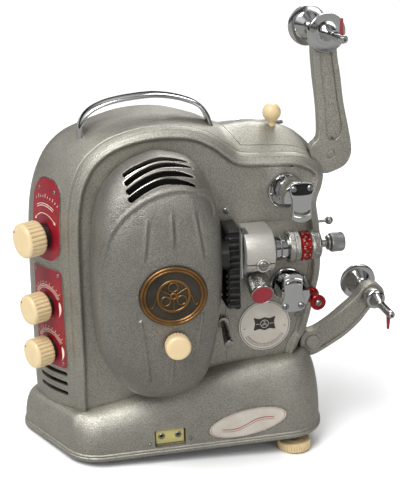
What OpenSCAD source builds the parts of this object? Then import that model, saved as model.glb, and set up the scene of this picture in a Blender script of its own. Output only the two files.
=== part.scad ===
// Narrow-gauge film projector: cast base, upright body, bulging lamphouse cover,
// lens and film path on the front panel, two folding reel arms on the lens end.
// The machine is drawn level, lens pointing along +X, front panel facing -Y,
// with z = 0 on the rim of the base. It is then tipped up on its screw feet.

/* [Base] */
// Length of the base over its rim
base_l = 290; // [270:1:310]
// Depth of the base over its rim
base_d = 122; // [114:1:130]
// Height of the base under the control end of the body
base_h_low = 41; // [34:0.5:48]
// Height of the base under the lens end of the body
base_h_high = 79; // [70:0.5:88]
// Wall of the base casting
base_wall = 3; // [2.5:0.1:4]
// Height of the bead round the rim
rim_h = 6; // [4:0.5:8]
// How far the rim bead stands out from the wall
rim_out = 1.5; // [0.5:0.1:2.5]
// Width of the rounded shoulder along the front, seen from above
shoulder_w = 27; // [22:0.5:30]
// Corner radius of the rim at the lens end
base_corner_r = 38; // [30:1:44]
// Angle by which the control end is turned towards the operator
end_turn = 29; // [20:1:32]

/* [Body] */
// Distance of the front panel behind the centre line of the base
panel_y = -33; // [-36:0.5:-30]
// Distance of the back of the body behind the centre line of the base
back_y = 50; // [46:0.5:54]
// Wall of the body casting
body_wall = 3; // [2.5:0.1:3.5]
// Width of the stepped bead round the front panel
bead_w = 10; // [7:0.5:12]
// Depth of that bead from the panel to the crease
bead_d = 8; // [6:0.5:10]
// How far the rim of the bead stands in front of the panel
rim_up = 3.4; // [2:0.2:4]
// Thickness of the back cover
back_cover_t = 3; // [2:0.5:4]
// Height of the seam between the upper panel and the mechanism plate
panel_seam_z = 214; // [208:1:220]
// Thickness of the mechanism plate
mech_plate_t = 3; // [2.5:0.1:4]

/* [Handle and lid] */
// Width of the handle strap
handle_w = 20; // [16:0.5:24]
// Thickness of the handle strap
handle_t = 4; // [3:0.5:5]
// Depth position of the handle strap
handle_y = 8; // [4:1:12]
// Wall of the top lid
lid_wall = 2; // [1.5:0.1:2.5]
// Gap round the top lid
lid_gap = 0.5; // [0.3:0.1:0.8]
// Diameter of the ball knob on the lid
lid_ball_d = 17.5; // [14:0.5:20]
// Largest opening angle of the lid hinge pin barrel, its diameter
lid_pin_d = 4; // [3:0.5:5]

/* [Lamphouse] */
// How far the lamphouse cover stands out from the front panel
cover_out = 58; // [52:0.5:62]
// Wall of the lamphouse cover
cover_wall = 2.5; // [2:0.1:3]
// Gap between the cover's rim and the panel
cover_gap = 0.6; // [0.4:0.1:1]
// Number of louvre slots
louvres = 4; // [3:1:5]
// Distance from one louvre slot to the next
louvre_pitch = 7.4; // [6.5:0.1:8]
// Half width of the oval badge
badge_a = 30; // [26:0.5:32]
// Half height of the oval badge
badge_b = 27.5; // [24:0.5:29]
// Diameter of the fluted nut that holds the cover
cover_knob_d = 23; // [19:0.5:26]
// Length of that nut
cover_knob_l = 14; // [11:0.5:17]
// Diameter of the lamp bulb
lamp_d = 28; // [24:1:32]

/* [Lens and gate] */
// Distance of the optical axis in front of the panel
optic_out = 22; // [20:0.5:24]
// Height of the optical axis over the rim
optic_z = 195.5; // [190:0.5:200]
// Diameter of the lens barrel
barrel_d = 23; // [20:0.5:25]
// Diameter of the knurled focus ring
focus_ring_d = 30; // [28:0.5:32]
// Diameter of the red iris ring
iris_ring_d = 28; // [26:0.5:29.5]
// Diameter of the front ring of the lens
front_ring_d = 26.5; // [24:0.5:28]
// Position of the face of the lens block that the barrel comes out of
block_x1 = 89; // [86:0.5:92]
// Length of the lens block
block_l = 27; // [24:0.5:29]
// Diameter of the rounded front of the lens block
block_d = 40; // [36:0.5:42]
// Radial clearance of running fits
fit = 0.05; // [0.03:0.01:0.08]
// Diameter of the gate knob
gate_knob_d = 22; // [18:0.5:24]
// Length of the gate knob
gate_knob_l = 24; // [20:0.5:27]
// Angle at which the gate knob points down
gate_knob_dip = 20; // [10:1:25]

/* [Film path] */
// Diameter of the sprocket flange plates on the panel
sprocket_plate_d = 33; // [28:0.5:36]
// Diameter of the sprockets over the film
sprocket_d = 18; // [16:0.5:20]
// Diameter of the hoods over the sprockets
hood_d = 27.8; // [25:0.2:29]
// How far a film shoe stands to the side of its hood
shoe_dx = 2.9; // [1:0.1:4]
// Number of teeth on a sprocket
sprocket_teeth = 12; // [8:1:16]
// Diameter of the flanged film roller
roller_d = 15; // [12:0.5:17]
// Width of the film
film_w = 8; // [7.9:0.1:8]
// Diameter of the round label plate
label_d = 51; // [44:1:54]

/* [Reel arms] */
// Thickness of the reel arms
arm_t = 12; // [10:0.5:13]
// Distance of the arms' front face behind the panel
arm_back = 9; // [8.5:0.5:11]
// Radius of the round root of the upper arm
upper_root_r = 20; // [18:0.5:22]
// Radius of the round root of the lower arm
lower_root_r = 14; // [12:0.5:15]
// Diameter of the pivot pins of the arms
arm_pin_d = 8; // [6:0.5:10]
// Diameter of the reel pins
reel_pin_d = 7.9; // [7.5:0.1:7.9]
// Diameter of the spindle shafts in the arms
spindle_d = 11; // [10:0.5:12]
// Diameter of the upper seat disc
seat_disc_d = 35; // [30:1:38]
// Diameter of the drive dishes at the back of the spindles
dish_d = 38; // [34:1:40]

/* [Controls] */
// Diameter of the upper control knob
knob_big_d = 33; // [29:0.5:35]
// Diameter of the two lower control knobs
knob_small_d = 29; // [26:0.5:31]
// Length of the control knobs
knob_l = 19; // [15:0.5:22]
// Width of the red control plates
plate_w = 44; // [40:0.5:48]
// Thickness of the red control plates
plate_t = 1; // [0.8:0.1:1.2]
// Number of flutes round a control knob
knob_flutes = 24; // [18:1:30]
// Diameter of the inching knob
inching_d = 19; // [16:0.5:21]

/* [Feet] */
// Diameter of the screw foot wheels
wheel_d = 33; // [29:0.5:35]
// Thickness of the screw foot wheels
wheel_t = 9; // [7:0.5:11]
// How far the wheels are screwed down below the rim
wheel_drop = 9; // [4:0.5:12]
// Diameter of the foot screws
foot_screw_d = 10; // [8:0.5:12]
// Diameter of the rubber feet
rubber_d = 16; // [12:0.5:18]

/* [Hidden] */
$fn = 48;

eps = 0.01;
half_l = base_l / 2;
half_d = base_d / 2;
panel_front = panel_y;
crease_y = panel_y + bead_d;
optic_y = panel_y - optic_out;
arm_front_y = panel_y + arm_back;
arm_back_y = arm_front_y + arm_t;

// Where the parts of the film path and the controls stand, as [x, z] on the panel
upper_sprocket_at = [112, 244.5];
lower_sprocket_at = [110, 150.5];
upper_flange_at = [108.8, 243];
roller_at = [133, 139.5];
label_at = [88, 110];
framing_at = [47, 119];
upper_root_at = [156, 272];
lower_root_at = [139.5, 82.5];
upper_spindle_at = [149, 384.5];
lower_spindle_at = [200, 125.5];
cover_c = [-14, 168];
badge_at = [-9, 173];
cover_nut_at = [-8, 128];
lamp_x = -12;
film_x = block_x1 - block_l - 3;
seat_y = arm_front_y - 4;
tip_y = seat_y - 50;

// Control end: a point on its face, seen from above, and the heights of the knobs
end_face = [-115.3, -1.7];
knob_z = [209, 141, 96];

// Screw feet
wheel_at = [114, 46];
wheel_edge_x = wheel_at[0] - wheel_d / 2;
wheel_low = wheel_drop + wheel_t;
rubber_at = [-118, 34];
rubber_front_at = [-90, -32];
rubber_stand = 4.5;
tilt = atan((wheel_low - rubber_stand) / (wheel_edge_x - rubber_at[0]));
stand_z = wheel_low * cos(tilt) - wheel_edge_x * sin(tilt);
knob_reach = (end_face[0] - (plate_t + 3 + knob_l) * cos(end_turn)) * cos(tilt) - knob_z[0] * sin(tilt)
    - (knob_big_d / 2 - 2) * sqrt(1 - pow(cos(end_turn) * cos(tilt), 2));
spindle_reach = lower_spindle_at[0] * cos(tilt) - lower_spindle_at[1] * sin(tilt) + (dish_d - 1) / 2;
stand_x = -(knob_reach + spindle_reach) / 2;
stand_y = -(half_d + rim_out + panel_y - cover_out - 1.8 - cover_knob_l) / 2;

// Closed Catmull-Rom curve through the points p, n steps for each span
function spline(p, n) = let(m = len(p)) [for (i = [0:m - 1]) for (k = [0:n - 1])
    let(t = k / n, a = p[(i + m - 1) % m], b = p[i], c = p[(i + 1) % m], d = p[(i + 2) % m])
    0.5 * (2 * b + (c - a) * t + (2 * a - 5 * b + 4 * c - d) * t * t + (3 * b - a - 3 * c + d) * t * t * t)];
// Open Catmull-Rom curve, which runs from the first point to the last
function open_spline(p, n) = let(m = len(p)) concat([for (i = [0:m - 2]) for (k = [0:n - 1])
    let(t = k / n, a = p[max(i - 1, 0)], b = p[i], c = p[i + 1], d = p[min(i + 2, m - 1)])
    0.5 * (2 * b + (c - a) * t + (2 * a - 5 * b + 4 * c - d) * t * t + (3 * b - a - 3 * c + d) * t * t * t)],
    [p[m - 1]]);
// Outline moved inwards by d; the points run anticlockwise
function inset(p, d) = let(m = len(p)) [for (i = [0:m - 1])
    let(a = p[(i + m - 1) % m], b = p[(i + 1) % m], t = b - a, s = norm(t)) p[i] + [-t[1], t[0]] * d / s];
function mix(p, q, t) = [for (i = [0:len(p) - 1]) p[i] * (1 - t) + q[i] * t];
// Height between the known points of a profile
function height(p, x, i = 0) = i >= len(p) - 2 || x <= p[i + 1][0]
    ? p[i][1] + (p[i + 1][1] - p[i][1]) * (x - p[i][0]) / (p[i + 1][0] - p[i][0])
    : height(p, x, i + 1);
function circle_points(c, r, n) = [for (i = [0:n - 1]) c + r * [cos(360 * i / n), sin(360 * i / n)]];

// Solid through equal closed sections of 3-D points, capped at both ends
module loft(s) {
    m = len(s[0]);
    k = len(s);
    side = [for (i = [0:k - 2]) for (j = [0:m - 1]) let(e = (j + 1) % m)
        each [[i * m + j, i * m + e, (i + 1) * m + e], [i * m + j, (i + 1) * m + e, (i + 1) * m + j]]];
    front = [[for (j = [m - 1:-1:0]) j]];
    back = [[for (j = [0:m - 1]) (k - 1) * m + j]];
    polyhedron([for (a = s) each a], concat(front, side, back), convexity = 8);
}
// A section of [x, z] points at depth y
function at_y(p, y) = [for (q = p) [q[0], y, q[1]]];
// Prism along Y of an [x, z] outline, from y0 to y1
module prism_y(y0, y1) {
    translate([0, y1, 0]) rotate([90, 0, 0]) linear_extrude(y1 - y0) children();
}
module rod_y(at, y0, y1, d) {
    translate([at[0], y1, at[1]]) rotate([90, 0, 0]) cylinder(h = y1 - y0, d = d);
}
module rod_x(y, z, x0, x1, d) {
    translate([x0, y, z]) rotate([0, 90, 0]) cylinder(h = x1 - x0, d = d);
}
// Stands the level machine on its feet
module standing() {
    translate([stand_x, stand_y, stand_z]) rotate([0, -tilt, 0]) children();
}
// Local frame on the control end: x up, y to the back, z out of the face
module on_end(z) {
    translate([end_face[0], end_face[1], z]) rotate([0, 0, end_turn]) rotate([0, -90, 0]) children();
}
// Fluted hand knob standing on z = 0
module fluted(d, l, flutes, cut) {
    difference() {
        union() {
            cylinder(h = l - 2, d = d);
            translate([0, 0, l - 2]) cylinder(h = 2, d1 = d, d2 = d - 4);
        }
        for (i = [0:flutes - 1]) rotate(360 * i / flutes)
            translate([d / 2 + cut * 0.35, 0, 2]) cylinder(h = l, r = cut, $fn = 10);
    }
}

// Base

top_profile = open_spline([[-half_l, base_h_low - 5], [-96, base_h_low], [-53, base_h_low + 7],
    [-10, (base_h_low + base_h_high) / 2], [34, base_h_high - 7.5], [73, base_h_high - 3],
    [117, base_h_high], [half_l, base_h_high + 1]], 2);
left_slope = tan(end_turn);
left_y0 = -half_d + (96.1 - (145 - half_l)) / left_slope;
// Front and back edge of the rim at x, inset by c
function rim_front(x, c) = let(xc = half_l - base_corner_r, xl = -half_l + 71, rl = base_corner_r,
    left = -half_d + (-96 - (half_l - 145) - x) / left_slope + c / sin(end_turn))
    x > xc ? -half_d + rl - sqrt(max(0, pow(rl - c, 2) - pow(x - xc, 2)))
    : x > xl ? -half_d + c
    : x > xl - (rl - c) * cos(end_turn) ? -half_d + rl - sqrt(max(0, pow(rl - c, 2) - pow(xl - x, 2)))
    : left;
function rim_back(x, c) = let(r = base_corner_r - 13, xr = half_l - r, xb = -half_l + r)
    x > xr ? half_d - r + sqrt(max(0, pow(r - c, 2) - pow(x - xr, 2)))
    : x < xb ? half_d - r + sqrt(max(0, pow(r - c, 2) - pow(xb - x, 2)))
    : half_d - c;
// Height of the wall's outside at a distance in from the rim, as a share of the full height
function swell(t, w) = t <= 0 ? 0.06 : t >= w ? 1
    : let(u = t / w) pow(1 - pow(1 - u, 2.6), 1 / 2.1);
base_steps = [0, 0.4, 1.2, 3, 6, 10, 15, 21, 27];
// Section of the base across its length at x
function base_section(x, c) = let(
    top = height(top_profile, x) - c,
    end_r = min(1, swell(half_l - c - x, shoulder_w * 0.75)),
    end_l = min(1, swell(x + half_l - c, shoulder_w * 0.5)),
    h = max(rim_h * 0.7, top * end_r * end_l),
    f = rim_front(x, c), b = rim_back(x, c), span = (b - f) / 2,
    ws = min(shoulder_w, span * 0.9), wb = min(shoulder_w * 0.5, span * 0.9))
    concat([[x, b, -c], [x, f, -c]],
        [for (t = base_steps) let(u = t / 27) [x, f + u * ws, h * swell(u * ws + 0.05, ws)]],
        [for (i = [len(base_steps) - 1:-1:0]) let(u = base_steps[i] / 27)
            [x, b - u * wb, h * swell(u * wb + 0.05, wb)]]);
base_x = [-half_l + 0.6, -half_l + 3, -half_l + 8, -half_l + 15, -half_l + 25, -108, -96, -85, -74, -53, -30, -10, 12,
    34, 60, 90, half_l - base_corner_r, half_l - 28, half_l - 19, half_l - 12, half_l - 6, half_l - 2.5, half_l - 0.6];
module base_solid(c) {
    loft([for (x = base_x) let(q = max(-half_l + c + 0.6, min(half_l - c - 0.6, x))) base_section(q, c)]);
}
rim_points = concat([for (x = base_x) [x, rim_front(x, 0)]],
    [for (i = [len(base_x) - 1:-1:0]) [base_x[i], rim_back(base_x[i], 0)]]);
socket_at = [-12, 16];
module base_casting() {
    color("silver") standing() difference() {
        union() {
            base_solid(0);
            linear_extrude(rim_h) polygon(inset(rim_points, -rim_out));
        }
        translate([0, 0, -eps]) linear_extrude(rim_h + 8) polygon(inset(rim_points, base_wall + 2));
        translate([-88, -half_d + 14, -1]) cube([190, base_d - 30, base_h_low - 6]);
        translate([20, -half_d + 26, -1]) cube([80, base_d - 46, base_h_high - 14]);
        // window of the tone socket
        translate([socket_at[0] - 14, -half_d - 5, socket_at[1] - 7.5]) cube([28, 30, 15]);
        arm_pocket(lower_root_at, lower_root_r + 1);
        for (s = [-1, 1]) translate([wheel_at[0], s * wheel_at[1], -1])
            cylinder(h = 32, d = foot_screw_d + 2 * fit);
    }
}
module base_bottom_plate() {
    color("dimgray") standing() difference() {
        linear_extrude(1.5) polygon(inset(rim_points, base_wall + 2));
        for (s = [-1, 1]) translate([wheel_at[0], s * wheel_at[1], -1]) cylinder(h = 4, d = foot_screw_d + 8);
        for (i = [0:5]) translate([-60 + 16 * i, -25, -1]) cube([5, 50, 4]);
    }
}
// Half space above the floor, in the frame of the level machine
module above_floor() {
    rotate([0, tilt, 0]) translate([-300, -200, -stand_z]) cube([600, 400, 500]);
}
module rubber_feet() {
    color("black") standing() intersection() {
        for (p = [rubber_at, rubber_front_at]) translate([p[0], p[1], -12]) cylinder(h = 12, d = rubber_d);
        above_floor();
    }
}
module screw_foot(s) {
    color("ivory") standing() translate([wheel_at[0], s * wheel_at[1], 0]) {
        translate([0, 0, -wheel_low]) difference() {
            cylinder(h = wheel_t, d = wheel_d);
            for (i = [0:29]) rotate(12 * i) translate([wheel_d / 2 + 0.4, 0, -1]) cylinder(h = wheel_t + 2, r = 1.2, $fn = 8);
        }
        translate([0, 0, -wheel_drop - eps]) cylinder(h = wheel_drop + 24, d = foot_screw_d);
    }
}
module front_screw_foot() {
    screw_foot(-1);
}
module rear_screw_foot() {
    screw_foot(1);
}

// Body

// Outlines of the body as [x, z], anticlockwise from the bottom at the lens end:
// at the crease behind the bead, through the middle, and at the back
body_low = 30;
front_outline = [[112, body_low], [124, 82], [132, 98], [141, 134], [146, 160], [146, 190], [144, 210], [142, 227], [147, 243],
    [148, 257], [141, 268], [122, 277], [94, 279], [70, 281], [59, 288], [46, 298], [27, 307], [6, 310.5], [-21, 310],
    [-49, 303], [-68, 291.5], [-80, 277], [-89, 255], [-94, 220], [-96, 150], [-97, 90], [-98, body_low]];
middle_outline = [[116, body_low], [128, 82], [136, 98], [145, 134], [150, 160], [150, 190], [148, 210], [146, 227], [151, 243],
    [152, 259], [144, 276], [124, 293], [95, 301], [72, 301], [60, 300], [48, 303], [30, 310], [2, 316], [-30, 315],
    [-62, 307.5], [-84, 295], [-100, 277], [-111, 252], [-117, 216], [-121, 150], [-122, 90], [-122, body_low]];
rear_outline = [[116, body_low], [128, 82], [136, 98], [145, 134], [150, 160], [150, 190], [148, 210], [146, 227], [151, 243],
    [152, 258], [144, 273], [124, 289], [95, 297], [72, 297], [60, 297], [50, 301], [33, 308.5], [0, 317], [-36, 316],
    [-72, 305.5], [-92, 296], [-108, 279], [-120, 251], [-126, 214], [-129, 150], [-130, 90], [-130, body_low]];
function body_outline(y) = y <= crease_y ? front_outline
    : y <= 10 ? mix(front_outline, middle_outline, sin(90 * (y - crease_y) / (10 - crease_y)) * 0.4
        + 0.6 * (y - crease_y) / (10 - crease_y))
    : y <= 30 ? mix(middle_outline, rear_outline, (y - 10) / 20)
    : rear_outline;
// Depth, inset: the edge of the panel, the two beads, the crease, and the rounded back
function body_stations(c) = concat(c == 0 ? rim_stations : [[panel_y + c, bead_w + 1.5 + c * 0.5],
    [panel_y + 0.5 + c * 0.1, bead_w * 0.9 + c * 0.7], [panel_y + bead_d * 0.55, bead_w * 0.35 + c]],
    [[crease_y, c], [-8, c], [10, c], [30, c], [back_y - 10, 1 + c], [back_y - 4, 4 + c],
    [back_y + (c > 0 ? 1 : 0), 10 + c]]);
// The raised rim of the panel and the sloping band behind it
rim_stations = [[panel_y, bead_w + 1.5], [panel_y - rim_up * 0.4, bead_w + 0.3], [panel_y - rim_up * 0.85, bead_w * 0.93],
    [panel_y - rim_up, bead_w * 0.85], [panel_y - rim_up * 0.93, bead_w * 0.76], [panel_y - rim_up * 0.6, bead_w * 0.68],
    [panel_y + bead_d * 0.07, bead_w * 0.46], [panel_y + bead_d * 0.3, bead_w * 0.32], [panel_y + bead_d * 0.6, bead_w * 0.16]];
module body_solid(c) {
    loft([for (s = body_stations(c)) at_y(inset(spline(body_outline(s[0]), 2), s[1]), s[0])]);
}
lid_x0 = 70;
lid_y0 = panel_y + 15;
lid_y1 = back_y - 12;
lid_z = 268;
lid_hinge_y = lid_y1 - 1;
lid_hinge_z = 292.5;
// Opening of the lid, seen from above; its right edge stops short of the upper arm's root
module lid_cut(g) {
    translate([0, 0, lid_z]) linear_extrude(60) polygon([[lid_x0 - g, lid_y0 - g], [arm_clear_x + g, lid_y0 - g],
        [arm_clear_x + g, lid_y1 + g], [lid_x0 - 14 - g, lid_y1 + g]]);
}
arm_clear_x = upper_root_at[0] - upper_root_r - 1.5;
module body_shell() {
    color("silver") standing() difference() {
        union() {
            difference() {
                body_solid(0);
                body_solid(body_wall);
                base_solid(0);
                translate([-200, back_y - back_cover_t, 0]) cube([400, 40, 400]);
                lid_cut(lid_gap);
                rod_x(lid_hinge_y, lid_hinge_z, lid_x0 - 15, arm_clear_x + 1, lid_pin_d + 8);
                // vents behind the lamphouse
                translate([-40, panel_y - 5, 222]) cube([52, 20, 36]);
                translate([-40, panel_y - 5, 84]) cube([46, 20, 28]);
            }
            for (x = [78, 121]) intersection() {
                body_solid(0.6);
                translate([x, lid_hinge_y - 3.5, lid_hinge_z - 6]) cube([5, 14, 14]);
            }
            arm_lug(upper_root_at, 10, [134, 258], 14);
            arm_lug(lower_root_at, 8, [122, 92], 12);
        }
        rod_x(lid_hinge_y, lid_hinge_z, 70, 140, lid_pin_d);
        mech_plate_space(0, 12);
        arm_pocket(upper_root_at, upper_root_r);
        arm_pocket(lower_root_at, lower_root_r + 1);
        rod_y(upper_root_at, arm_front_y, arm_back_y + 20, arm_pin_d);
        rod_y(lower_root_at, arm_front_y, arm_back_y + 20, arm_pin_d);
        rod_x(inching_y, inching_z, 120, 170, 8 + 0.6);
        rod_x(ball_y, ball_z, 120, 170, 3 + 0.6);
        rod_y(upper_sprocket_at, panel_y - 5, panel_y + 10, 6 + 2 * fit);
        // vents under the control plates
        for (i = [0:2]) on_end(74 - 10 * i) translate([-2, -23, -8]) cube([4, 46, 16]);
        for (z = knob_z) on_end(z) translate([0, 0, -10]) cylinder(h = 20, d = 8 + 2 * fit);
    }
}
// Lug behind an arm, which holds its pivot pin
module arm_lug(at, r, foot, foot_r) {
    difference() {
        prism_y(arm_back_y + 0.5, arm_back_y + 11) hull() {
            translate(at) circle(r, $fn = 32);
            translate(foot) circle(foot_r, $fn = 32);
        }
        body_solid(body_wall + 2);
        base_solid(0);
        lid_cut(lid_gap);
    }
}
module arm_pocket(at, r) {
    rod_y(at, arm_front_y - 0.5, arm_back_y + 0.5, 2 * r + 1);
}
// Space of the plate that carries the mechanism, set flush in the front panel
mech_x0 = 50;
module mech_plate_space(g, deep) {
    intersection() {
        prism_y(panel_y - 1, panel_y + deep) polygon(inset(spline(front_outline, 2), bead_w + 2.5 - g));
        translate([mech_x0 - g, panel_y - 2, 60]) cube([120, deep + 4, panel_seam_z - 60 + g]);
    }
}
module mechanism_plate() {
    color("silver") standing() difference() {
        intersection() {
            prism_y(panel_y, panel_y + mech_plate_t) polygon(inset(spline(front_outline, 2), bead_w + 2.5));
            translate([mech_x0, panel_y - 2, 60]) cube([120, 20, panel_seam_z - 60]);
        }
        base_solid(0);
        rod_y(lower_sprocket_at, panel_y - 5, panel_y + 10, 6 + 2 * fit);
    }
}
module back_cover() {
    color("silver") standing() difference() {
        prism_y(back_y - back_cover_t, back_y) polygon(spline(inset(rear_outline, 7), 2));
        base_solid(0);
        for (i = [0:5]) translate([-70 + 14 * i, back_y - 10, 210]) cube([5, 20, 50]);
        for (i = [0:3]) translate([60 + 14 * i, back_y - 10, 120]) cube([5, 20, 40]);
    }
}
handle_path = open_spline([[-75, 296], [-73.5, 309], [-66, 320], [-53, 327], [-35, 331], [-11, 333], [5, 332],
    [22, 328], [36, 321.5], [44, 312], [48.5, 298]], 3);
// Rounded strap section, as [across, out] points
function strap(w, t) = [for (a = [0:30:330]) [(w - t) / 2 * sign(cos(a)) * (abs(cos(a)) > 0.01 ? 1 : 0) + t / 2 * cos(a),
    t / 2 * sin(a)]];
module carrying_handle() {
    p = handle_path;
    n = len(p);
    color("gainsboro") standing() difference() {
        loft([for (i = [0:n - 1]) let(d = p[min(i + 1, n - 1)] - p[max(i - 1, 0)], t = d / norm(d), o = [-t[1], t[0]])
            [for (q = strap(handle_w, handle_t)) [p[i][0] + o[0] * q[1], handle_y - q[0], p[i][1] + o[1] * q[1]]]]);
        body_solid(0);
    }
}
module top_lid() {
    color("silver") standing() difference() {
        union() {
            difference() {
                intersection() {
                    body_solid(0);
                    lid_cut(0);
                }
                body_solid(lid_wall);
            }
            intersection() {
                body_solid(0.2);
                rod_x(lid_hinge_y, lid_hinge_z, 84, 120, lid_pin_d + 4);
            }
        }
        for (x = [78, 121]) translate([x - 0.5, lid_hinge_y - 4.5, lid_hinge_z - 8]) cube([6, 20, 20]);
        rod_x(lid_hinge_y, lid_hinge_z, 60, 160, lid_pin_d + 2 * fit);
        translate(lid_ball_at - [0, 0, 30]) cylinder(h = 30, d = lid_stem_d + 2 * fit);
    }
}
module lid_hinge_pin() {
    color("gray") standing() rod_x(lid_hinge_y, lid_hinge_z, 78, 126, lid_pin_d);
}
lid_ball_at = [107, 6, 309];
lid_stem_d = 6;
module lid_ball_knob() {
    color("ivory") standing() translate(lid_ball_at) {
        sphere(d = lid_ball_d);
        translate([0, 0, -15]) cylinder(h = 9, d = lid_stem_d);
    }
}

// Control end

module end_plate_shape(z0, z1, r) {
    translate([z0 + r, -plate_w / 2 + r]) circle(r);
    translate([z0 + r, plate_w / 2 - r]) circle(r);
    translate([z1 - r, -plate_w / 2 + r]) circle(r);
    translate([z1 - r, plate_w / 2 - r]) circle(r);
    translate([z0, -plate_w / 2 + r]) square([z1 - z0, plate_w - 2 * r]);
    translate([z0 + r, -plate_w / 2]) square([z1 - z0 - 2 * r, plate_w]);
}
module control_plate(z0, z1, r, holes) {
    color("firebrick") standing() difference() {
        intersection() {
            body_solid(-plate_t);
            on_end(0) translate([0, 0, -30]) linear_extrude(60) end_plate_shape(z0, z1, r);
        }
        body_solid(0);
        for (z = holes) on_end(z) translate([0, 0, -20]) cylinder(h = 40, d = 8 + 2 * fit);
    }
}
module upper_control_plate() {
    control_plate(186, 262, 18, [knob_z[0]]);
}
module lower_control_plate() {
    control_plate(80, 178, 4, [knob_z[1], knob_z[2]]);
}
module control_knob(z, d) {
    color("ivory") standing() on_end(z) {
        translate([0, 0, plate_t + 3]) fluted(d, knob_l, knob_flutes, 1.6);
        translate([0, 0, -8]) cylinder(h = 12 + plate_t, d = 8);
    }
}
module upper_knob() {
    control_knob(knob_z[0], knob_big_d);
}
module middle_knob() {
    control_knob(knob_z[1], knob_small_d);
}
module lower_knob() {
    control_knob(knob_z[2], knob_small_d);
}

// Lamphouse

cover_outline = [[42, 195], [41, 164], [37, 133], [31, 101], [22, 78], [5, 64], [-20, 61], [-42, 67], [-57, 81], [-70, 105],
    [-75, 132], [-76, 176], [-73, 221], [-68, 247], [-57, 269], [-39, 284], [-18, 291.5], [-4, 291], [16, 284], [29, 267],
    [37, 247], [41, 224]];
cover_loop = [for (i = [21:-1:0]) cover_outline[i]];
function cover_ring(s) = [for (p = spline(cover_loop, 2)) cover_c + (p - cover_c) * s];
// Distance out from the panel and size of the cover's section there
cover_steps = [[0, 0.985], [12, 1.01], [26, 1], [36, 0.965], [44, 0.9], [50, 0.8], [54.5, 0.66], [57, 0.5], [58, 0.35]];
module cover_solid(c) {
    loft([for (i = [len(cover_steps) - 1:-1:0]) let(s = cover_steps[i])
        at_y(cover_ring(s[1] - c / 90), panel_y - cover_gap + (s[0] == 0 ? 1 : 0) * (c > 0 ? 3 : 0)
            - s[0] * (cover_out - c) / 58)]);
}
// Share of the way from the middle of the cover to its outline at the point p
function cover_share(p) = let(l = cover_ring(1), m = len(l), d = p - cover_c)
    max([for (i = [0:m - 1]) let(a = l[i] - cover_c, b = l[(i + 1) % m] - cover_c, e = b - a, w = d[0] * e[1] - d[1] * e[0],
        t = (a[0] * e[1] - a[1] * e[0]) / w, u = (a[0] * d[1] - a[1] * d[0]) / w) t > 0 && u >= 0 && u <= 1 ? 1 / t : 0]);
cover_rise = [for (i = [len(cover_steps) - 1:-1:1]) [cover_steps[i][1], cover_steps[i][0] * cover_out / 58]];
// Depth of the cover's outside at the point p of its front view
function cover_y(p) = let(s = cover_share(p)) panel_y - cover_gap - (s < cover_rise[0][0] ? cover_out : height(cover_rise, s));
ribs = [[[-28.4, 244], [-33.7, 205]], [[-7.7, 247], [-7.2, 215]], [[12.5, 246], [18.9, 202]], [[-38.7, 150], [-32.9, 92]],
    [[-11, 112], [-13, 90]], [[16.9, 150], [6.2, 90]]];
arch = [[32, 243], [23, 257.5], [4, 263.5], [-12, 262.5], [-25, 258.5], [-37, 252], [-47.8, 243.5], [-58.5, 229.5], [-65, 212],
    [-69.3, 190], [-70.4, 165], [-69.5, 140]];
// Rounded ridge that follows the cover's outside along the points p, with thinned ends
module ridge(p, r, sink) {
    n = len(p);
    q = [for (a = p) [a[0], cover_y(a) + sink, a[1]]];
    loft([for (i = [0:n - 1]) let(d = q[min(i + 1, n - 1)] - q[max(i - 1, 0)], t = d / norm(d), o = cross(t, [0, 1, 0]),
        side = o / norm(o), up = cross(side, t), w = r * (i == 0 || i == n - 1 ? 0.45 : 1))
        [for (k = [0:7]) q[i] + w * (cos(45 * k) * side + sin(45 * k) * up)]]);
}
// Curved slot number i, seen from the front
module louvre(i) {
    drop = louvre_pitch * 0.8 * i;
    p = open_spline([[-45.4 + 0.7 * i, 276.8 - drop], [-31 + i, 284.2 - drop * 0.97], [-16 + 0.8 * i, 288.6 - drop * 0.92],
        [-1 + i, 288 - drop * 0.93], [12.4 + 1.5 * i, 284 - drop * 0.98]], 3);
    n = len(p);
    prism_y(-130, panel_y - 6) polygon(concat([for (k = [0:n - 1]) p[k] + [0, k == n - 1 ? 0.3 : louvre_half]],
        [for (k = [n - 1:-1:0]) p[k] - [0, k == n - 1 ? 0.3 : louvre_half]]));
}
louvre_half = 1.75;
module lamphouse_cover() {
    color("darkgray") standing() difference() {
        union() {
            difference() {
                cover_solid(0);
                cover_solid(cover_wall);
                for (i = [0:louvres - 1]) louvre(i);
            }
            for (r = ribs) ridge([for (k = [0:4]) r[0] + (r[1] - r[0]) * k / 4], 1.7, 0.2);
            ridge(open_spline(arch, 2), 1.5, 0.3);
            intersection() {
                rod_y(badge_at, panel_y - cover_out, panel_y - cover_out + 7, 2 * badge_b);
                cover_solid(-0.6);
            }
            rod_y(cover_nut_at, panel_y - cover_out - 1, panel_y - cover_out + 12, cover_knob_d - 4);
        }
        rod_y(cover_nut_at, panel_y - cover_out - 5, panel_y, 6 + 0.6);
        // notch for the light tunnel
        translate([10, optic_y, optic_z]) rotate([0, 90, 0]) cylinder(h = 60, d = 36);
        translate([10, optic_y, optic_z - 18]) cube([60, 60, 36]);
    }
}
module oval(a, b, y0, y1, at) {
    translate([at[0], y1, at[1]]) rotate([90, 0, 0]) linear_extrude(y1 - y0) scale([1, b / a]) circle(a, $fn = 40);
}
badge_y = panel_y - cover_out - cover_gap - 0.5;
module cover_badge() {
    color("peru") standing() difference() {
        oval(badge_a, badge_b, badge_y - 3, badge_y, badge_at);
        oval(badge_a - 3.5, badge_b - 3.5, badge_y - 4, badge_y - 1.8, badge_at);
    }
}
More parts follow.
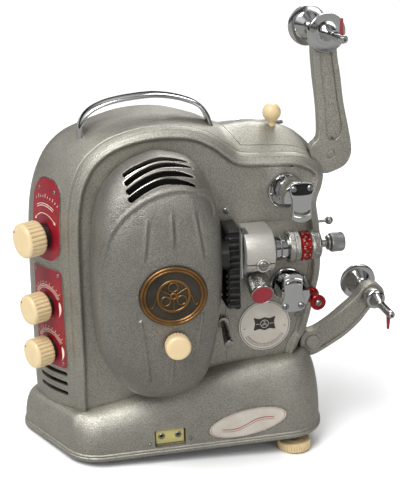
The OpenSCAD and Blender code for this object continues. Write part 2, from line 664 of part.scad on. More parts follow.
module cover_nut() {
    color("ivory") standing() difference() {
        translate([cover_nut_at[0], panel_y - cover_out - 1.8, cover_nut_at[1]]) rotate([90, 0, 0])
            fluted(cover_knob_d, cover_knob_l, 20, 1.4);
        rod_y(cover_nut_at, panel_y - cover_out - 10, panel_y - cover_out, 5 + 2 * fit);
    }
}
module cover_stud() {
    color("gray") standing() union() {
        rod_y(cover_nut_at, panel_y - cover_out - 9, panel_y - 2, 5);
        translate([cover_nut_at[0] - 28, panel_y - 3, cover_nut_at[1] - 5]) cube([56, 3, 10]);
    }
}
module lamp() {
    color("lightblue") standing() translate([lamp_x, optic_y, optic_z]) {
        sphere(d = lamp_d);
        translate([0, 0, -26]) cylinder(h = 20, d = lamp_d * 0.55);
        translate([0, 0, -42]) cylinder(h = 17, d = 15);
    }
}
module lamp_socket() {
    color("darkgoldenrod") standing() difference() {
        union() {
            translate([lamp_x, optic_y, optic_z - 58]) cylinder(h = 24, d = 22);
            translate([lamp_x - 8, optic_y + 6, optic_z - 58]) cube([16, optic_out - 6, 12]);
        }
        translate([lamp_x, optic_y, optic_z - 42]) cylinder(h = 20, d = 15);
    }
}
module reflector() {
    color("gainsboro") standing() translate([lamp_x + 8, optic_y, optic_z]) rotate([0, -90, 0]) difference() {
        union() {
            rotate_extrude() difference() {
                intersection() {
                    circle(r = 34, $fn = 64);
                    translate([0, 27]) square([26, 20]);
                }
                circle(r = 32.5, $fn = 64);
            }
            translate([-4, -3, 33]) cube([8, 3 + optic_out, 3]);
        }
    }
}
module condenser() {
    color("dimgray") standing() difference() {
        union() {
            rod_x(optic_y, optic_z, 12, film_x - 12, 32);
            translate([14, optic_y, optic_z - 8]) cube([10, optic_out, 16]);
        }
        rod_x(optic_y, optic_z, 5, 16, 27);
        rod_x(optic_y, optic_z, 24, film_x, 27);
    }
}

// Lens and gate

module lens_block() {
    color("darkgray") standing() difference() {
        union() {
            rod_x(optic_y, optic_z, block_x1 - block_l, block_x1, block_d);
            translate([block_x1 - block_l, optic_y, optic_z - block_d / 2]) cube([block_l, optic_out, block_d]);
        }
        rod_x(optic_y, optic_z, block_x1 - block_l - 1, block_x1 + 1, barrel_d + 2 * fit);
        // room for the pressure plate when the gate opens
        translate([block_x1 - block_l - 1, optic_y - 8, optic_z - 30]) cube([5.5, 16, 60]);
        // clamp slit
        translate([block_x1 - block_l - 1, optic_y - block_d / 2 - 1, optic_z - 9]) cube([block_l + 2, block_d / 2 - 6, 1.2]);
        rod_y([clamp_x, clamp_z], optic_y - block_d / 2 - 1, optic_y - 14, 5 + 2 * fit);
    }
}
clamp_x = block_x1 - 12;
clamp_z = optic_z - 9;
module clamp_screw() {
    color("gainsboro") standing() difference() {
        union() {
            rod_y([clamp_x, clamp_z], optic_y - block_d / 2 - 0.5, optic_y - 14.2, 5);
            rod_y([clamp_x, clamp_z], optic_y - block_d / 2 - 2.5, optic_y - block_d / 2 - 0.2, 9);
        }
        translate([clamp_x - 6, optic_y - block_d / 2 - 3, clamp_z - 0.6]) cube([12, 1.6, 1.2]);
    }
}
focus_x0 = block_x1 + 15;
iris_x0 = focus_x0 + 11;
front_x0 = iris_x0 + 10;
lens_end = front_x0 + 10;
module lens_barrel() {
    color("gainsboro") standing() difference() {
        union() {
            rod_x(optic_y, optic_z, block_x1 - block_l + 5, front_x0, barrel_d);
            rod_x(optic_y, optic_z, front_x0, lens_end, front_ring_d);
        }
        rod_x(optic_y, optic_z, block_x1 - block_l + 4, lens_end - 6, barrel_d - 6);
        translate([lens_end - 6.01, optic_y, optic_z]) rotate([0, 90, 0]) cylinder(h = 6.1, d1 = barrel_d - 6, d2 = front_ring_d - 5);
    }
}
module ring_x(x0, x1, d, bore, grooves, r) {
    difference() {
        rod_x(optic_y, optic_z, x0, x1, d);
        rod_x(optic_y, optic_z, x0 - 1, x1 + 1, bore);
        for (i = [0:grooves - 1]) translate([x0 + 1, optic_y, optic_z]) rotate([360 * i / grooves, 0, 0])
            translate([0, 0, d / 2 + r * 0.3]) rotate([0, 90, 0]) cylinder(h = x1 - x0 - 2, r = r, $fn = 6);
    }
}
module focus_ring() {
    color("silver") standing() ring_x(focus_x0, focus_x0 + 10.6, focus_ring_d, barrel_d + 2 * fit, 36, 1);
}
module iris_ring() {
    color("firebrick") standing() ring_x(iris_x0, iris_x0 + 9.8, iris_ring_d, barrel_d + 2 * fit, 0, 1);
}
module lens_glass() {
    color("lightblue") standing() union() {
        rod_x(optic_y, optic_z, lens_end - 9, lens_end - 6.2, barrel_d - 6);
        rod_x(optic_y, optic_z, block_x1 - block_l + 6, block_x1 - block_l + 9, barrel_d - 6);
    }
}
gate_z0 = optic_z - 54;
gate_z1 = optic_z + 24;
module gate_housing() {
    color("black") standing() difference() {
        union() {
            translate([film_x - 12, optic_y - 8, gate_z0]) cube([11, optic_out + 8, gate_z1 - gate_z0]);
            for (i = [0:12]) translate([film_x - 12, optic_y - 11, gate_z0 + 2 + 6 * i]) cube([11, 4, 2.6]);
        }
        rod_x(optic_y, optic_z, film_x - 20, film_x + 1, 14);
    }
}
module aperture_plate() {
    color("gainsboro") standing() difference() {
        translate([film_x - 0.9, optic_y - 8, gate_z0]) cube([0.9, optic_out + 8, gate_z1 - gate_z0]);
        translate([film_x - 3, optic_y - 2.25, optic_z - 1.65]) cube([5, 4.5, 3.3]);
    }
}
module pressure_plate() {
    color("gainsboro") standing() difference() {
        translate([film_x + 0.4, optic_y - 7, optic_z - 24]) cube([1.6, 14, 48]);
        rod_x(optic_y, optic_z, film_x - 3, film_x + 5, 9);
    }
}
gate_knob_at = [77, panel_y - 12, optic_z - 30];
module gate_bracket() {
    color("darkgray") standing() difference() {
        translate([gate_knob_at[0] - 8, gate_knob_at[1] - 2, gate_knob_at[2] - 9]) cube([16, 14, 17]);
        translate(gate_knob_at) rotate([90 + gate_knob_dip, 0, 0]) translate([0, 0, -30]) cylinder(h = 60, d = 7 + 2 * fit);
        translate(gate_knob_at) rotate([90 + gate_knob_dip, 0, 0]) translate([0, 0, 1]) cylinder(h = 30, d = 40);
    }
}
module gate_knob() {
    color("silver") standing() translate(gate_knob_at) rotate([90 + gate_knob_dip, 0, 0]) {
        translate([0, 0, -10]) cylinder(h = 14, d = 7);
        translate([0, 0, 3]) fluted(gate_knob_d, gate_knob_l, 30, 0.9);
    }
}

// Film path

sprocket_y0 = optic_y - 7;
sprocket_y1 = optic_y + 7;
module sprocket_flanges() {
    color("gainsboro") standing() for (q = [[upper_flange_at, upper_sprocket_at], [lower_sprocket_at, lower_sprocket_at]])
        difference() {
            union() {
                rod_y(q[0], panel_y - 3, panel_y - eps, sprocket_plate_d);
                rod_y(q[1], panel_y - 8, panel_y - 2, 14);
            }
            rod_y(q[1], panel_y - 20, panel_y + 5, 6 + 2 * fit);
        }
}
module sprocket(p) {
    color("gainsboro") standing() union() {
        rod_y(p, sprocket_y0, sprocket_y1, sprocket_d - 3);
        rod_y(p, sprocket_y0, sprocket_y0 + 2.5, sprocket_d);
        rod_y(p, sprocket_y1 - 4, sprocket_y1, sprocket_d);
        rod_y(p, hood_y + 0.1, panel_y + 14, 6);
        for (i = [0:sprocket_teeth - 1]) translate([p[0], sprocket_y1 - 2.5, p[1]]) rotate([0, 360 * i / sprocket_teeth, 0])
            translate([0, 0, sprocket_d / 2 - 0.5]) rotate([0, 0, 45]) cylinder(h = 1.8, d1 = 1.6, d2 = 0.8, $fn = 16);
    }
}
module upper_sprocket() {
    sprocket(upper_sprocket_at);
}
module lower_sprocket() {
    sprocket(lower_sprocket_at);
}
hood_y = sprocket_y0 - 4;
// Half outline and slot of the film shoe, from the middle of its hood
shoe_half = [[0, 15], [6, 14.6], [10.3, 13.2], [10.8, 8], [10.3, 3.5], [8.9, -1], [8.7, -5], [9, -12], [9.1, -18.5],
    [6, -21.3], [0, -22.8]];
shoe_slot = [[-7.4, -11.2], [-3.5, -12.8], [0, -13.3], [3.5, -12.8], [7.4, -11.2], [7.4, -13.9], [3.5, -15.5], [0, -16],
    [-3.5, -15.5], [-7.4, -13.9]];
// Hood over a sprocket with the film shoe on its front; way is 1 with the shoe hanging down, -1 with it standing up
module film_guide(p, way) {
    n = len(shoe_half);
    difference() {
        rod_y(p, hood_y, panel_y - 3.5, hood_d);
        rod_y(p, hood_y + 2, panel_y, hood_d - 3);
        rod_y(p, hood_y - 1, panel_y, 6 + 2 * fit);
        translate([p[0] - 40, -100, p[1] + (way > 0 ? -45 : 5)]) cube([80, 200, 40]);
    }
    prism_y(hood_y - 2, hood_y + eps) translate(p + [way * shoe_dx, 0]) rotate(way > 0 ? 0 : 180) difference() {
        polygon(concat(shoe_half, [for (i = [n - 2:-1:1]) [-shoe_half[i][0], shoe_half[i][1]]]));
        polygon(shoe_slot);
    }
}
module upper_film_guide() {
    color("gainsboro") standing() film_guide(upper_sprocket_at, 1);
}
module lower_film_guide() {
    color("gainsboro") standing() film_guide(lower_sprocket_at, -1);
}
module roller_pin() {
    color("gray") standing() difference() {
        union() {
            rod_y(roller_at, panel_y - 30, panel_y - eps, 5);
            rod_y(roller_at, panel_y - 32, panel_y - 29.5, 7.5);
            // arm that carries the pin
            translate([roller_at[0], panel_y - 2.6, roller_at[1]]) rotate([0, -20, 0]) cylinder(h = 20, d = 4.2);
        }
        body_solid(0);
        rod_y(lower_sprocket_at, panel_y - 3.3, panel_y + 1, sprocket_plate_d + 0.6);
    }
}
module film_roller() {
    color("firebrick") standing() difference() {
        union() {
            rod_y(roller_at, panel_y - 29, panel_y - 5, roller_d - 5);
            rod_y(roller_at, panel_y - 29, panel_y - 26, roller_d);
            rod_y(roller_at, panel_y - 8, panel_y - 5, roller_d);
        }
        rod_y(roller_at, panel_y - 40, panel_y, 5 + 2 * fit);
    }
}
module framing_lever() {
    color("gainsboro") standing() union() {
        rod_y(framing_at, panel_y - 5, panel_y - 0.3, 12);
        translate([framing_at[0], panel_y - 4, framing_at[1]]) rotate([90 + 26, 0, 0]) cylinder(h = 28, d1 = 6, d2 = 10);
    }
}
module label_plate() {
    color("lightgray") standing() rod_y(label_at, panel_y - 1.2, panel_y - eps, label_d);
}
oval_at = [64, 20];
module base_oval_plate() {
    color("lightgray") standing() difference() {
        intersection() {
            base_solid(-1.2);
            translate([oval_at[0], -half_d + 12, oval_at[1]]) rotate([90, 0, 0]) rotate(7.5) linear_extrude(30)
                scale([1, 0.36]) circle(40, $fn = 40);
        }
        base_solid(0);
        linear_extrude(rim_h) polygon(inset(rim_points, -rim_out));
    }
}
module tone_socket() {
    color("khaki") standing() difference() {
        translate([socket_at[0] - 14, -half_d + 4, socket_at[1] - 7.5]) cube([28, 10, 15]);
        for (s = [-1, 1]) rod_y([socket_at[0] + 8 * s, socket_at[1] + 1], -half_d, -half_d + 30, 4);
    }
}
screw_spots = [[53, 228], [121.5, 117]];
module small_screws() {
    color("silver") standing() for (p = screw_spots) rod_y(p, panel_y - 1.4, panel_y - eps, 6);
}

// Reel arms

// Outlines of the arms: round the root as [angle, share of its radius], then up or along both sides to the round end
upper_root = [[146, 1.02], [170, 1], [200, 1], [227, 1], [253, 0.96], [284, 0.86], [318, 0.9], [345, 0.96], [14, 1]];
upper_right = [[172.5, 297], [167.5, 320], [164, 345], [160.5, 366]];
upper_left = [[137.5, 370], [139.5, 346], [143, 318], [144.3, 293]];
lower_root = [[128, 0.98], [170, 1], [215, 1], [250, 1], [285, 0.98]];
lower_under = [[159, 77.3], [175, 87], [189, 99.5], [200.5, 112.5]];
lower_over = [[184, 125.5], [172, 115.5], [157, 104], [143, 96]];
function root_curve(at, r, list) = [for (q = list) at + r * q[1] * [cos(q[0]), sin(q[0])]];
function end_curve(at, r, a0, a1, n) = [for (i = [0:n]) at + r * [cos(a0 + (a1 - a0) * i / n), sin(a0 + (a1 - a0) * i / n)]];
module arm_body(outline, root, top) {
    p = spline(outline, 2);
    difference() {
        prism_y(arm_front_y, arm_back_y) polygon(p);
        // track between the raised edges
        difference() {
            prism_y(arm_front_y - 1, arm_front_y + 1.5) polygon(inset(p, 3.2));
            rod_y(root, arm_front_y - 2, arm_back_y, 2 * arm_pin_d);
            rod_y(top, arm_front_y - 2, arm_back_y, 2 * spindle_d - 5);
        }
        rod_y(root, arm_front_y - 1, arm_back_y + 1, arm_pin_d + 2 * fit);
        rod_y(top, arm_front_y - 9, arm_back_y + 9, spindle_d + 2 * fit);
    }
}
module upper_arm() {
    color("silver") standing() arm_body(concat(root_curve(upper_root_at, upper_root_r, upper_root), upper_right,
        end_curve(upper_spindle_at, 11.2, 0, 180, 4), upper_left), upper_root_at, upper_spindle_at);
}
module lower_arm() {
    color("silver") standing() arm_body(concat(root_curve(lower_root_at, lower_root_r, lower_root), lower_under,
        end_curve(lower_spindle_at, 12.5, -40, 170, 5), lower_over), lower_root_at, lower_spindle_at);
}
module arm_pins() {
    color("gray") standing() {
        rod_y(upper_root_at, arm_front_y + 0.5, arm_back_y + 11, arm_pin_d);
        rod_y(lower_root_at, arm_front_y + 0.5, arm_back_y + 11, arm_pin_d);
    }
}
latch_y = tip_y + 9;
latch_l = 17;
latch_pivot_d = 2;
// Where the full bearing of the pin ends and its slotted front begins
pin_step_y = latch_y + latch_l + 0.7;
pin_relief = 0.5;
module spindle(at, dish_y, flange_d, seat_d, seat_t) {
    color("gainsboro") standing() difference() {
        union() {
            rod_y(at, seat_y - 0.5, dish_y, spindle_d);
            rod_y(at, dish_y - 2, dish_y + 1.5, flange_d);
            translate([at[0], dish_y - 2, at[1]]) rotate([90, 0, 0]) cylinder(h = 9, d1 = flange_d * 0.7, d2 = spindle_d + 3);
            rod_y(at, seat_y - seat_t, seat_y + 3.4, seat_d);
            translate([at[0], seat_y - seat_t, at[1]]) rotate([90, 0, 0]) cylinder(h = 10, d1 = spindle_d + 3, d2 = reel_pin_d);
            rod_y(at, pin_step_y, seat_y - seat_t, reel_pin_d);
            rod_y(at, tip_y + 2, pin_step_y, reel_pin_d - pin_relief);
            translate([at[0], tip_y + 2, at[1]]) rotate([90, 0, 0])
                cylinder(h = 2, d1 = reel_pin_d - pin_relief, d2 = reel_pin_d - 2.5);
        }
        rod_y(at, tip_y - 1, tip_y + 3, 3);
        // slot of the latch and the hole of its pivot
        translate([at[0] - 1.3, latch_y - 4.5, at[1] - 8]) cube([2.6, 4.5 + latch_l + 0.6, 16]);
        rod_x(latch_y, at[1], at[0] - 6, at[0] + 6, latch_pivot_d + 2 * fit);
    }
}
module upper_spindle() {
    spindle(upper_spindle_at, 31, dish_d, seat_disc_d, 1.5);
}
module lower_spindle() {
    spindle(lower_spindle_at, 18, dish_d - 1, 20, 8);
}
// Red latch blade in the slot of a spindle, turned up or down
module latch(at, turn) {
    color("red") standing() translate([at[0], latch_y, at[1]]) rotate([0, turn, 0]) rotate([0, 90, 0]) union() {
        translate([0, 0, -1]) linear_extrude(2)
            polygon([[2.5, -2.6], [2.5, 2.6], [-5, 3.2], [-latch_l, 1], [-latch_l, -1], [-5, -3.2]]);
        translate([0, 0, -3]) cylinder(h = 6, d = latch_pivot_d);
    }
}
module upper_latch() {
    latch(upper_spindle_at, 0);
}
module lower_latch() {
    latch(lower_spindle_at, 180);
}

// Lens end and inside

inching_y = -10;
inching_z = 180;
module inching_knob() {
    color("gray") standing() union() {
        rod_x(inching_y, inching_z, 120, 161, 8);
        translate([160, inching_y, inching_z]) rotate([0, 90, 0]) fluted(inching_d, 14, 24, 0.9);
    }
}
ball_y = -8;
ball_z = 202;
module speed_ball() {
    color("gainsboro") standing() union() {
        translate([160, ball_y, ball_z]) sphere(r = 4);
        rod_x(ball_y, ball_z, 140, 158, 3);
    }
}
module motor() {
    color("dimgray") standing() difference() {
        union() {
            rod_x(16, 110, -20, 50, 52);
            translate([0, 6, 50]) cube([30, 20, 40]);
        }
        base_solid(0);
    }
}
module fan() {
    color("gray") standing() translate([56, 16, 110]) rotate([0, 90, 0]) union() {
        cylinder(h = 3, d = 58);
        translate([0, 0, -5.7]) cylinder(h = 25, d = 8);
        for (i = [0:11]) rotate(30 * i) translate([14, -0.75, 3 - eps]) cube([14, 1.5, 12]);
    }
}

base_casting();
base_bottom_plate();
rubber_feet();
front_screw_foot();
rear_screw_foot();
body_shell();
back_cover();
mechanism_plate();
carrying_handle();
top_lid();
lid_ball_knob();
lid_hinge_pin();
upper_control_plate();
lower_control_plate();
upper_knob();
middle_knob();
lower_knob();
lamphouse_cover();
cover_badge();
cover_nut();
cover_stud();
lamp();
lamp_socket();
reflector();
condenser();
lens_block();
clamp_screw();
lens_barrel();
focus_ring();
iris_ring();
lens_glass();
gate_housing();
aperture_plate();
pressure_plate();
gate_bracket();
gate_knob();
sprocket_flanges();
upper_sprocket();
lower_sprocket();
upper_film_guide();
lower_film_guide();
roller_pin();
film_roller();
framing_lever();
label_plate();
base_oval_plate();
tone_socket();
small_screws();
upper_arm();
lower_arm();
arm_pins();
upper_spindle();
lower_spindle();
upper_latch();
lower_latch();
inching_knob();
speed_ball();
motor();
fan();
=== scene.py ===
"""Narrow-gauge film projector: the pieces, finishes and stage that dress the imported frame.

The pieces are shaped in millimetres on the level machine, lens along +X and panel facing -Y,
and are then carried into the frame, where the machine stands tipped up on its screw feet.
"""
import math

import bmesh
import bpy
import numpy as np
from mathutils import Matrix, Vector
from mathutils.bvhtree import BVHTree


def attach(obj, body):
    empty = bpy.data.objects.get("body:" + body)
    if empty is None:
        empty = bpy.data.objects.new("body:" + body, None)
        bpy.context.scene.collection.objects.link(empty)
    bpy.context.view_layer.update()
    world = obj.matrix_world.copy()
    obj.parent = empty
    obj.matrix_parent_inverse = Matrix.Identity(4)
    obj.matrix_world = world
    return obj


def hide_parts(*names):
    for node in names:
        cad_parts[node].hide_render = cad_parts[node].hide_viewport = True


bl_info = {
    "name": "Film projector",
    "version": (1, 0, 0),
    "blender": (4, 5, 0),
    "location": "View3D > Sidebar > Projector",
    "description": "Models and finishes a narrow-gauge film projector over its packed frame",
    "category": "Object",
}

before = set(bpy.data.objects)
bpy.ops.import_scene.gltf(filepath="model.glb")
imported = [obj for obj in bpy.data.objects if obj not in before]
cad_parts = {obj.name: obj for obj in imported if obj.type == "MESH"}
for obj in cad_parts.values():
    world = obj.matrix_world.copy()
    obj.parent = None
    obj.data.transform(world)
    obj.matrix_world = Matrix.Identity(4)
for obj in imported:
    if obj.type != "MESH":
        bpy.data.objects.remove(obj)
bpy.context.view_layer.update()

# The level machine, as the part's source has it
BASE_L, BASE_D, LOW, HIGH = 290.0, 122.0, 41.0, 79.0
HALF_L, HALF_D = BASE_L / 2, BASE_D / 2
RIM_OUT, SHOULDER, CORNER = 1.5, 27.0, 38.0
END_TURN = math.radians(29)
PANEL_Y, BACK_Y, CREASE_Y = -33.0, 50.0, -25.0
OPTIC_Y, OPTIC_Z = -55.0, 195.5
END_FACE = (-115.3, -1.7)
KNOB_Z = (209.0, 141.0, 96.0)
WHEEL_AT, WHEEL_D, WHEEL_T, WHEEL_DROP = (114.0, 46.0), 33.0, 9.0, 9.0
RUBBER_X, RUBBER_STAND = -118.0, 4.5

# Tip of the machine, and where the level machine's origin stands in the frame
WHEEL_LOW = WHEEL_DROP + WHEEL_T
TILT = math.atan((WHEEL_LOW - RUBBER_STAND) / (WHEEL_AT[0] - WHEEL_D / 2 - RUBBER_X))
KNOB_REACH = ((END_FACE[0] - 23 * math.cos(END_TURN)) * math.cos(TILT) - KNOB_Z[0] * math.sin(TILT)
              - 14.5 * math.sqrt(1 - (math.cos(END_TURN) * math.cos(TILT)) ** 2))
SPINDLE_REACH = 200 * math.cos(TILT) - 125.5 * math.sin(TILT) + 18.5
STAND = Vector((-(KNOB_REACH + SPINDLE_REACH) / 2, -(HALF_D + RIM_OUT + PANEL_Y - 58 - 1.8 - 14) / 2,
                WHEEL_LOW * math.cos(TILT) - (WHEEL_AT[0] - WHEEL_D / 2) * math.sin(TILT)))
TO_FRAME = Matrix.Scale(0.001, 4) @ Matrix.Translation(STAND) @ Matrix.Rotation(-TILT, 4, "Y")


# Tools of the modeller

def nothing_selected():
    if bpy.context.object and bpy.context.object.mode != "OBJECT":
        bpy.ops.object.mode_set(mode="OBJECT")
    bpy.ops.object.select_all(action="DESELECT")


def only(obj):
    nothing_selected()
    obj.select_set(True)
    bpy.context.view_layer.objects.active = obj


def named(name):
    obj = bpy.context.object
    obj.name = name
    obj.data.name = name
    return obj


def cylinder(name, r, depth, at, axis="Z", sides=64, r2=None):
    """A cylinder or cone centred on at; along Y its first end faces the viewer."""
    nothing_selected()
    turn = {"Z": (0, 0, 0), "X": (0, math.pi / 2, 0), "Y": (math.pi / 2, 0, 0)}[axis]
    if r2 is None:
        bpy.ops.mesh.primitive_cylinder_add(vertices=sides, radius=r, depth=depth, location=at,
                rotation=turn)
    else:
        bpy.ops.mesh.primitive_cone_add(vertices=sides, radius1=r, radius2=r2, depth=depth, location=at,
                rotation=turn)
    return named(name)


def block(name, low, high):
    nothing_selected()
    centre = [(a + b) / 2 for a, b in zip(low, high)]
    bpy.ops.mesh.primitive_cube_add(size=1, location=centre)
    obj = named(name)
    obj.scale = [b - a for a, b in zip(low, high)]
    settle(obj)
    return obj


def settle(obj):
    """The object's own place and turn go into its mesh."""
    obj.data.transform(obj.matrix_basis)
    obj.matrix_basis = Matrix.Identity(4)


def apply(obj, kind, **values):
    only(obj)
    m = obj.modifiers.new(kind.title(), kind)
    for key, value in values.items():
        setattr(m, key, value)
    bpy.ops.object.modifier_apply(modifier=m.name)


def bevel(obj, width, segments=2, angle=30):
    apply(obj, "BEVEL", width=width, segments=segments, limit_method="ANGLE",
          angle_limit=math.radians(angle), harden_normals=False)


def cut(obj, *cutters, how="DIFFERENCE"):
    for c in cutters:
        settle(c)
        apply(obj, "BOOLEAN", object=c, operation=how, solver="EXACT")
        bpy.data.objects.remove(c, do_unlink=True)


def cleaned(obj, distance=0.0005, outward=True):
    only(obj)
    bpy.ops.object.mode_set(mode="EDIT")
    bpy.ops.mesh.select_all(action="SELECT")
    bpy.ops.mesh.remove_doubles(threshold=distance)
    if outward:
        bpy.ops.mesh.normals_make_consistent(inside=False)
    bpy.ops.object.mode_set(mode="OBJECT")


def smooth(obj, angle=35):
    only(obj)
    bpy.ops.object.shade_smooth_by_angle(angle=math.radians(angle))


def joined(name, *parts):
    nothing_selected()
    for p in parts:
        p.select_set(True)
    bpy.context.view_layer.objects.active = parts[0]
    bpy.ops.object.join()
    return named(name)


def from_mesh(name, verts, faces=(), edges=()):
    mesh = bpy.data.meshes.new(name)
    mesh.from_pydata([tuple(v) for v in verts], list(edges), [tuple(f) for f in faces])
    obj = bpy.data.objects.new(name, mesh)
    bpy.context.collection.objects.link(obj)
    only(obj)
    return obj


def lathe(name, profile, at=(0, 0, 0), axis="Z", steps=64):
    """Turns a profile of (radius, height) points about an axis through at."""
    obj = from_mesh(name, [(r, 0, h) for r, h in profile],
                    edges=[(i, i + 1) for i in range(len(profile) - 1)])
    bpy.ops.object.mode_set(mode="EDIT")
    bpy.ops.mesh.select_all(action="SELECT")
    bpy.ops.mesh.spin(steps=steps, angle=2 * math.pi, center=(0, 0, 0), axis=(0, 0, 1))
    bpy.ops.mesh.select_all(action="SELECT")
    bpy.ops.mesh.remove_doubles(threshold=0.0005)
    bpy.ops.mesh.normals_make_consistent(inside=False)
    bpy.ops.object.mode_set(mode="OBJECT")
    turn = {"Z": Matrix.Identity(4), "X": Matrix.Rotation(math.pi / 2, 4, "Y"),
            "-Y": Matrix.Rotation(math.pi / 2, 4, "X")}[axis] if isinstance(axis, str) else axis
    obj.data.transform(Matrix.Translation(at) @ turn)
    return obj


def skinned(name, sections, caps=True):
    """Solid through equal closed sections."""
    m, k = len(sections[0]), len(sections)
    verts = [p for s in sections for p in s]
    faces = [(i * m + j, i * m + (j + 1) % m, (i + 1) * m + (j + 1) % m, (i + 1) * m + j)
             for i in range(k - 1) for j in range(m)]
    if caps:
        faces += [tuple(range(m - 1, -1, -1)), tuple((k - 1) * m + j for j in range(m))]
    return from_mesh(name, verts, faces)


def prism(name, outline, low, high, along="Z"):
    """Prism of a plane outline; along Y the outline is (x, z), along X it is (y, z)."""
    place = {"Z": lambda a, b, c: (a, b, c), "Y": lambda a, b, c: (a, c, b), "X": lambda a, b,
             c: (c, a, b)}[along]
    obj = skinned(name, [[place(a, b, low) for a, b in outline], [place(a, b, high) for a, b in outline]])
    cleaned(obj)
    return obj


def copied(node):
    """A copy of a CAD node, merged, back on the level machine, with its flat faces made whole."""
    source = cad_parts[node]
    mesh = source.data.copy()
    obj = bpy.data.objects.new(node + "_piece", mesh)
    bpy.context.collection.objects.link(obj)
    mesh.transform(TO_FRAME.inverted() @ source.matrix_world)
    mesh.materials.clear()
    cleaned(obj, 0.002, outward=False)
    apply(obj, "DECIMATE", decimate_type="DISSOLVE", angle_limit=math.radians(1.0))
    return obj


def done(obj, body, look, nodes=(), angle=35):
    """Carries a finished piece into the frame, gives it its finish and slot and lets it ride."""
    settle(obj)
    smooth(obj, angle)
    obj.data.transform(TO_FRAME)
    obj.data.materials.clear()
    obj.data.materials.append(finishes(bpy.context.scene.projector_colours)[look])
    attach(obj, body)
    if nodes:
        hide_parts(*nodes)
    nothing_selected()
    return obj


def spline(points, n, closed=True):
    """Catmull-Rom curve with n steps for each span."""
    m = len(points)
    out = []
    for i in range(m if closed else m - 1):
        pick = (lambda k: points[k % m]) if closed else (lambda k: points[min(max(k, 0), m - 1)])
        a, b, c, d = pick(i - 1), pick(i), pick(i + 1), pick(i + 2)
        for k in range(n):
            t = k / n
            out.append(tuple(0.5 * (2 * b[j] + (c[j] - a[j]) * t
                                    + (2 * a[j] - 5 * b[j] + 4 * c[j] - d[j]) * t * t
                                    + (3 * b[j] - a[j] - 3 * c[j] + d[j]) * t ** 3) for j in range(len(b))))
    if not closed:
        out.append(tuple(points[-1]))
    return out


def inset(points, d):
    """Outline moved inwards by d; the points run anticlockwise."""
    m = len(points)
    out = []
    for i in range(m):
        a, b = points[i - 1], points[(i + 1) % m]
        tx, tz = b[0] - a[0], b[1] - a[1]
        s = math.hypot(tx, tz)
        out.append((points[i][0] - tz * d / s, points[i][1] + tx * d / s))
    return out


def polar(r, degrees):
    """Point of a circle round the origin."""
    a = math.radians(degrees)
    return r * math.cos(a), r * math.sin(a)


def mixed(p, q, t):
    return [(a[0] * (1 - t) + b[0] * t, a[1] * (1 - t) + b[1] * t) for a, b in zip(p, q)]


def along(table, x):
    """Value of a table of (x, value) points at x, between its ends."""
    for (x0, v0), (x1, v1) in zip(table, table[1:]):
        if x <= x1 or (x1, v1) == tuple(table[-1]):
            return v0 + (v1 - v0) * (x - x0) / (x1 - x0)
    return table[-1][1]


# Finishes

def linear(r, g, b):
    """A colour picked from a screen, 0 to 255, as the shader's linear colour."""
    f = lambda c: c / 12.92 if c <= 0.04045 else ((c + 0.055) / 1.055) ** 2.4
    return (f(r / 255), f(g / 255), f(b / 255), 1.0)


def group(name, inputs, outputs):
    """A node group with named sockets: returns it with its input and output nodes."""
    tree = bpy.data.node_groups.new(name, "ShaderNodeTree")
    kinds = {"value": "NodeSocketFloat", "colour": "NodeSocketColor", "vector": "NodeSocketVector"}
    for label, kind, default in inputs:
        s = tree.interface.new_socket(name=label, in_out="INPUT", socket_type=kinds[kind])
        if default is not None:
            s.default_value = default
    for label, kind in outputs:
        tree.interface.new_socket(name=label, in_out="OUTPUT", socket_type=kinds[kind])
    return tree, tree.nodes.new("NodeGroupInput"), tree.nodes.new("NodeGroupOutput")


def node(tree, kind, links=None, **values):
    """Adds a node; links and plain values go to its sockets by name or number."""
    n = tree.nodes.new(kind)
    for key, value in values.items():
        setattr(n, key, value)
    for key, value in (links or {}).items():
        if hasattr(value, "is_output"):
            tree.links.new(value, n.inputs[key])
        else:
            n.inputs[key].default_value = value
    return n


def maths(tree, how, a, b=0.0, clamp=False):
    return node(tree, "ShaderNodeMath", {0: a, 1: b}, operation=how, use_clamp=clamp).outputs[0]


def blend_colour(tree, how, factor, a, b):
    n = node(tree, "ShaderNodeMix", data_type="RGBA", blend_type=how)
    for index, value in ((0, factor), (6, a), (7, b)):
        if hasattr(value, "is_output"):
            tree.links.new(value, n.inputs[index])
        else:
            n.inputs[index].default_value = value
    return n.outputs[2]


def ramp(tree, value, stops):
    n = node(tree, "ShaderNodeValToRGB", {0: value})
    e = n.color_ramp.elements
    while len(e) < len(stops):
        e.new(0.5)
    for element, (place, shade) in zip(e, stops):
        element.position = place
        element.color = (shade, shade, shade, 1) if isinstance(shade, (int, float)) else shade
    return n.outputs[0]


def spot_of(tree):
    """The shaded point in the piece's own space."""
    return node(tree, "ShaderNodeTexCoord").outputs["Object"]


def noise(tree, where, scale, detail=2.0, rough=0.5, warp=0.0):
    """Noise from 0 to 1 at a place."""
    sockets = {"Vector": where, "Scale": scale, "Detail": detail, "Roughness": rough, "Distortion": warp}
    return node(tree, "ShaderNodeTexNoise", sockets).outputs["Fac"]


def bumped(tree, bsdf, strength, distance, height):
    bump = node(tree, "ShaderNodeBump", {"Strength": strength, "Distance": distance, "Height": height})
    tree.links.new(bump.outputs[0], bsdf.inputs["Normal"])


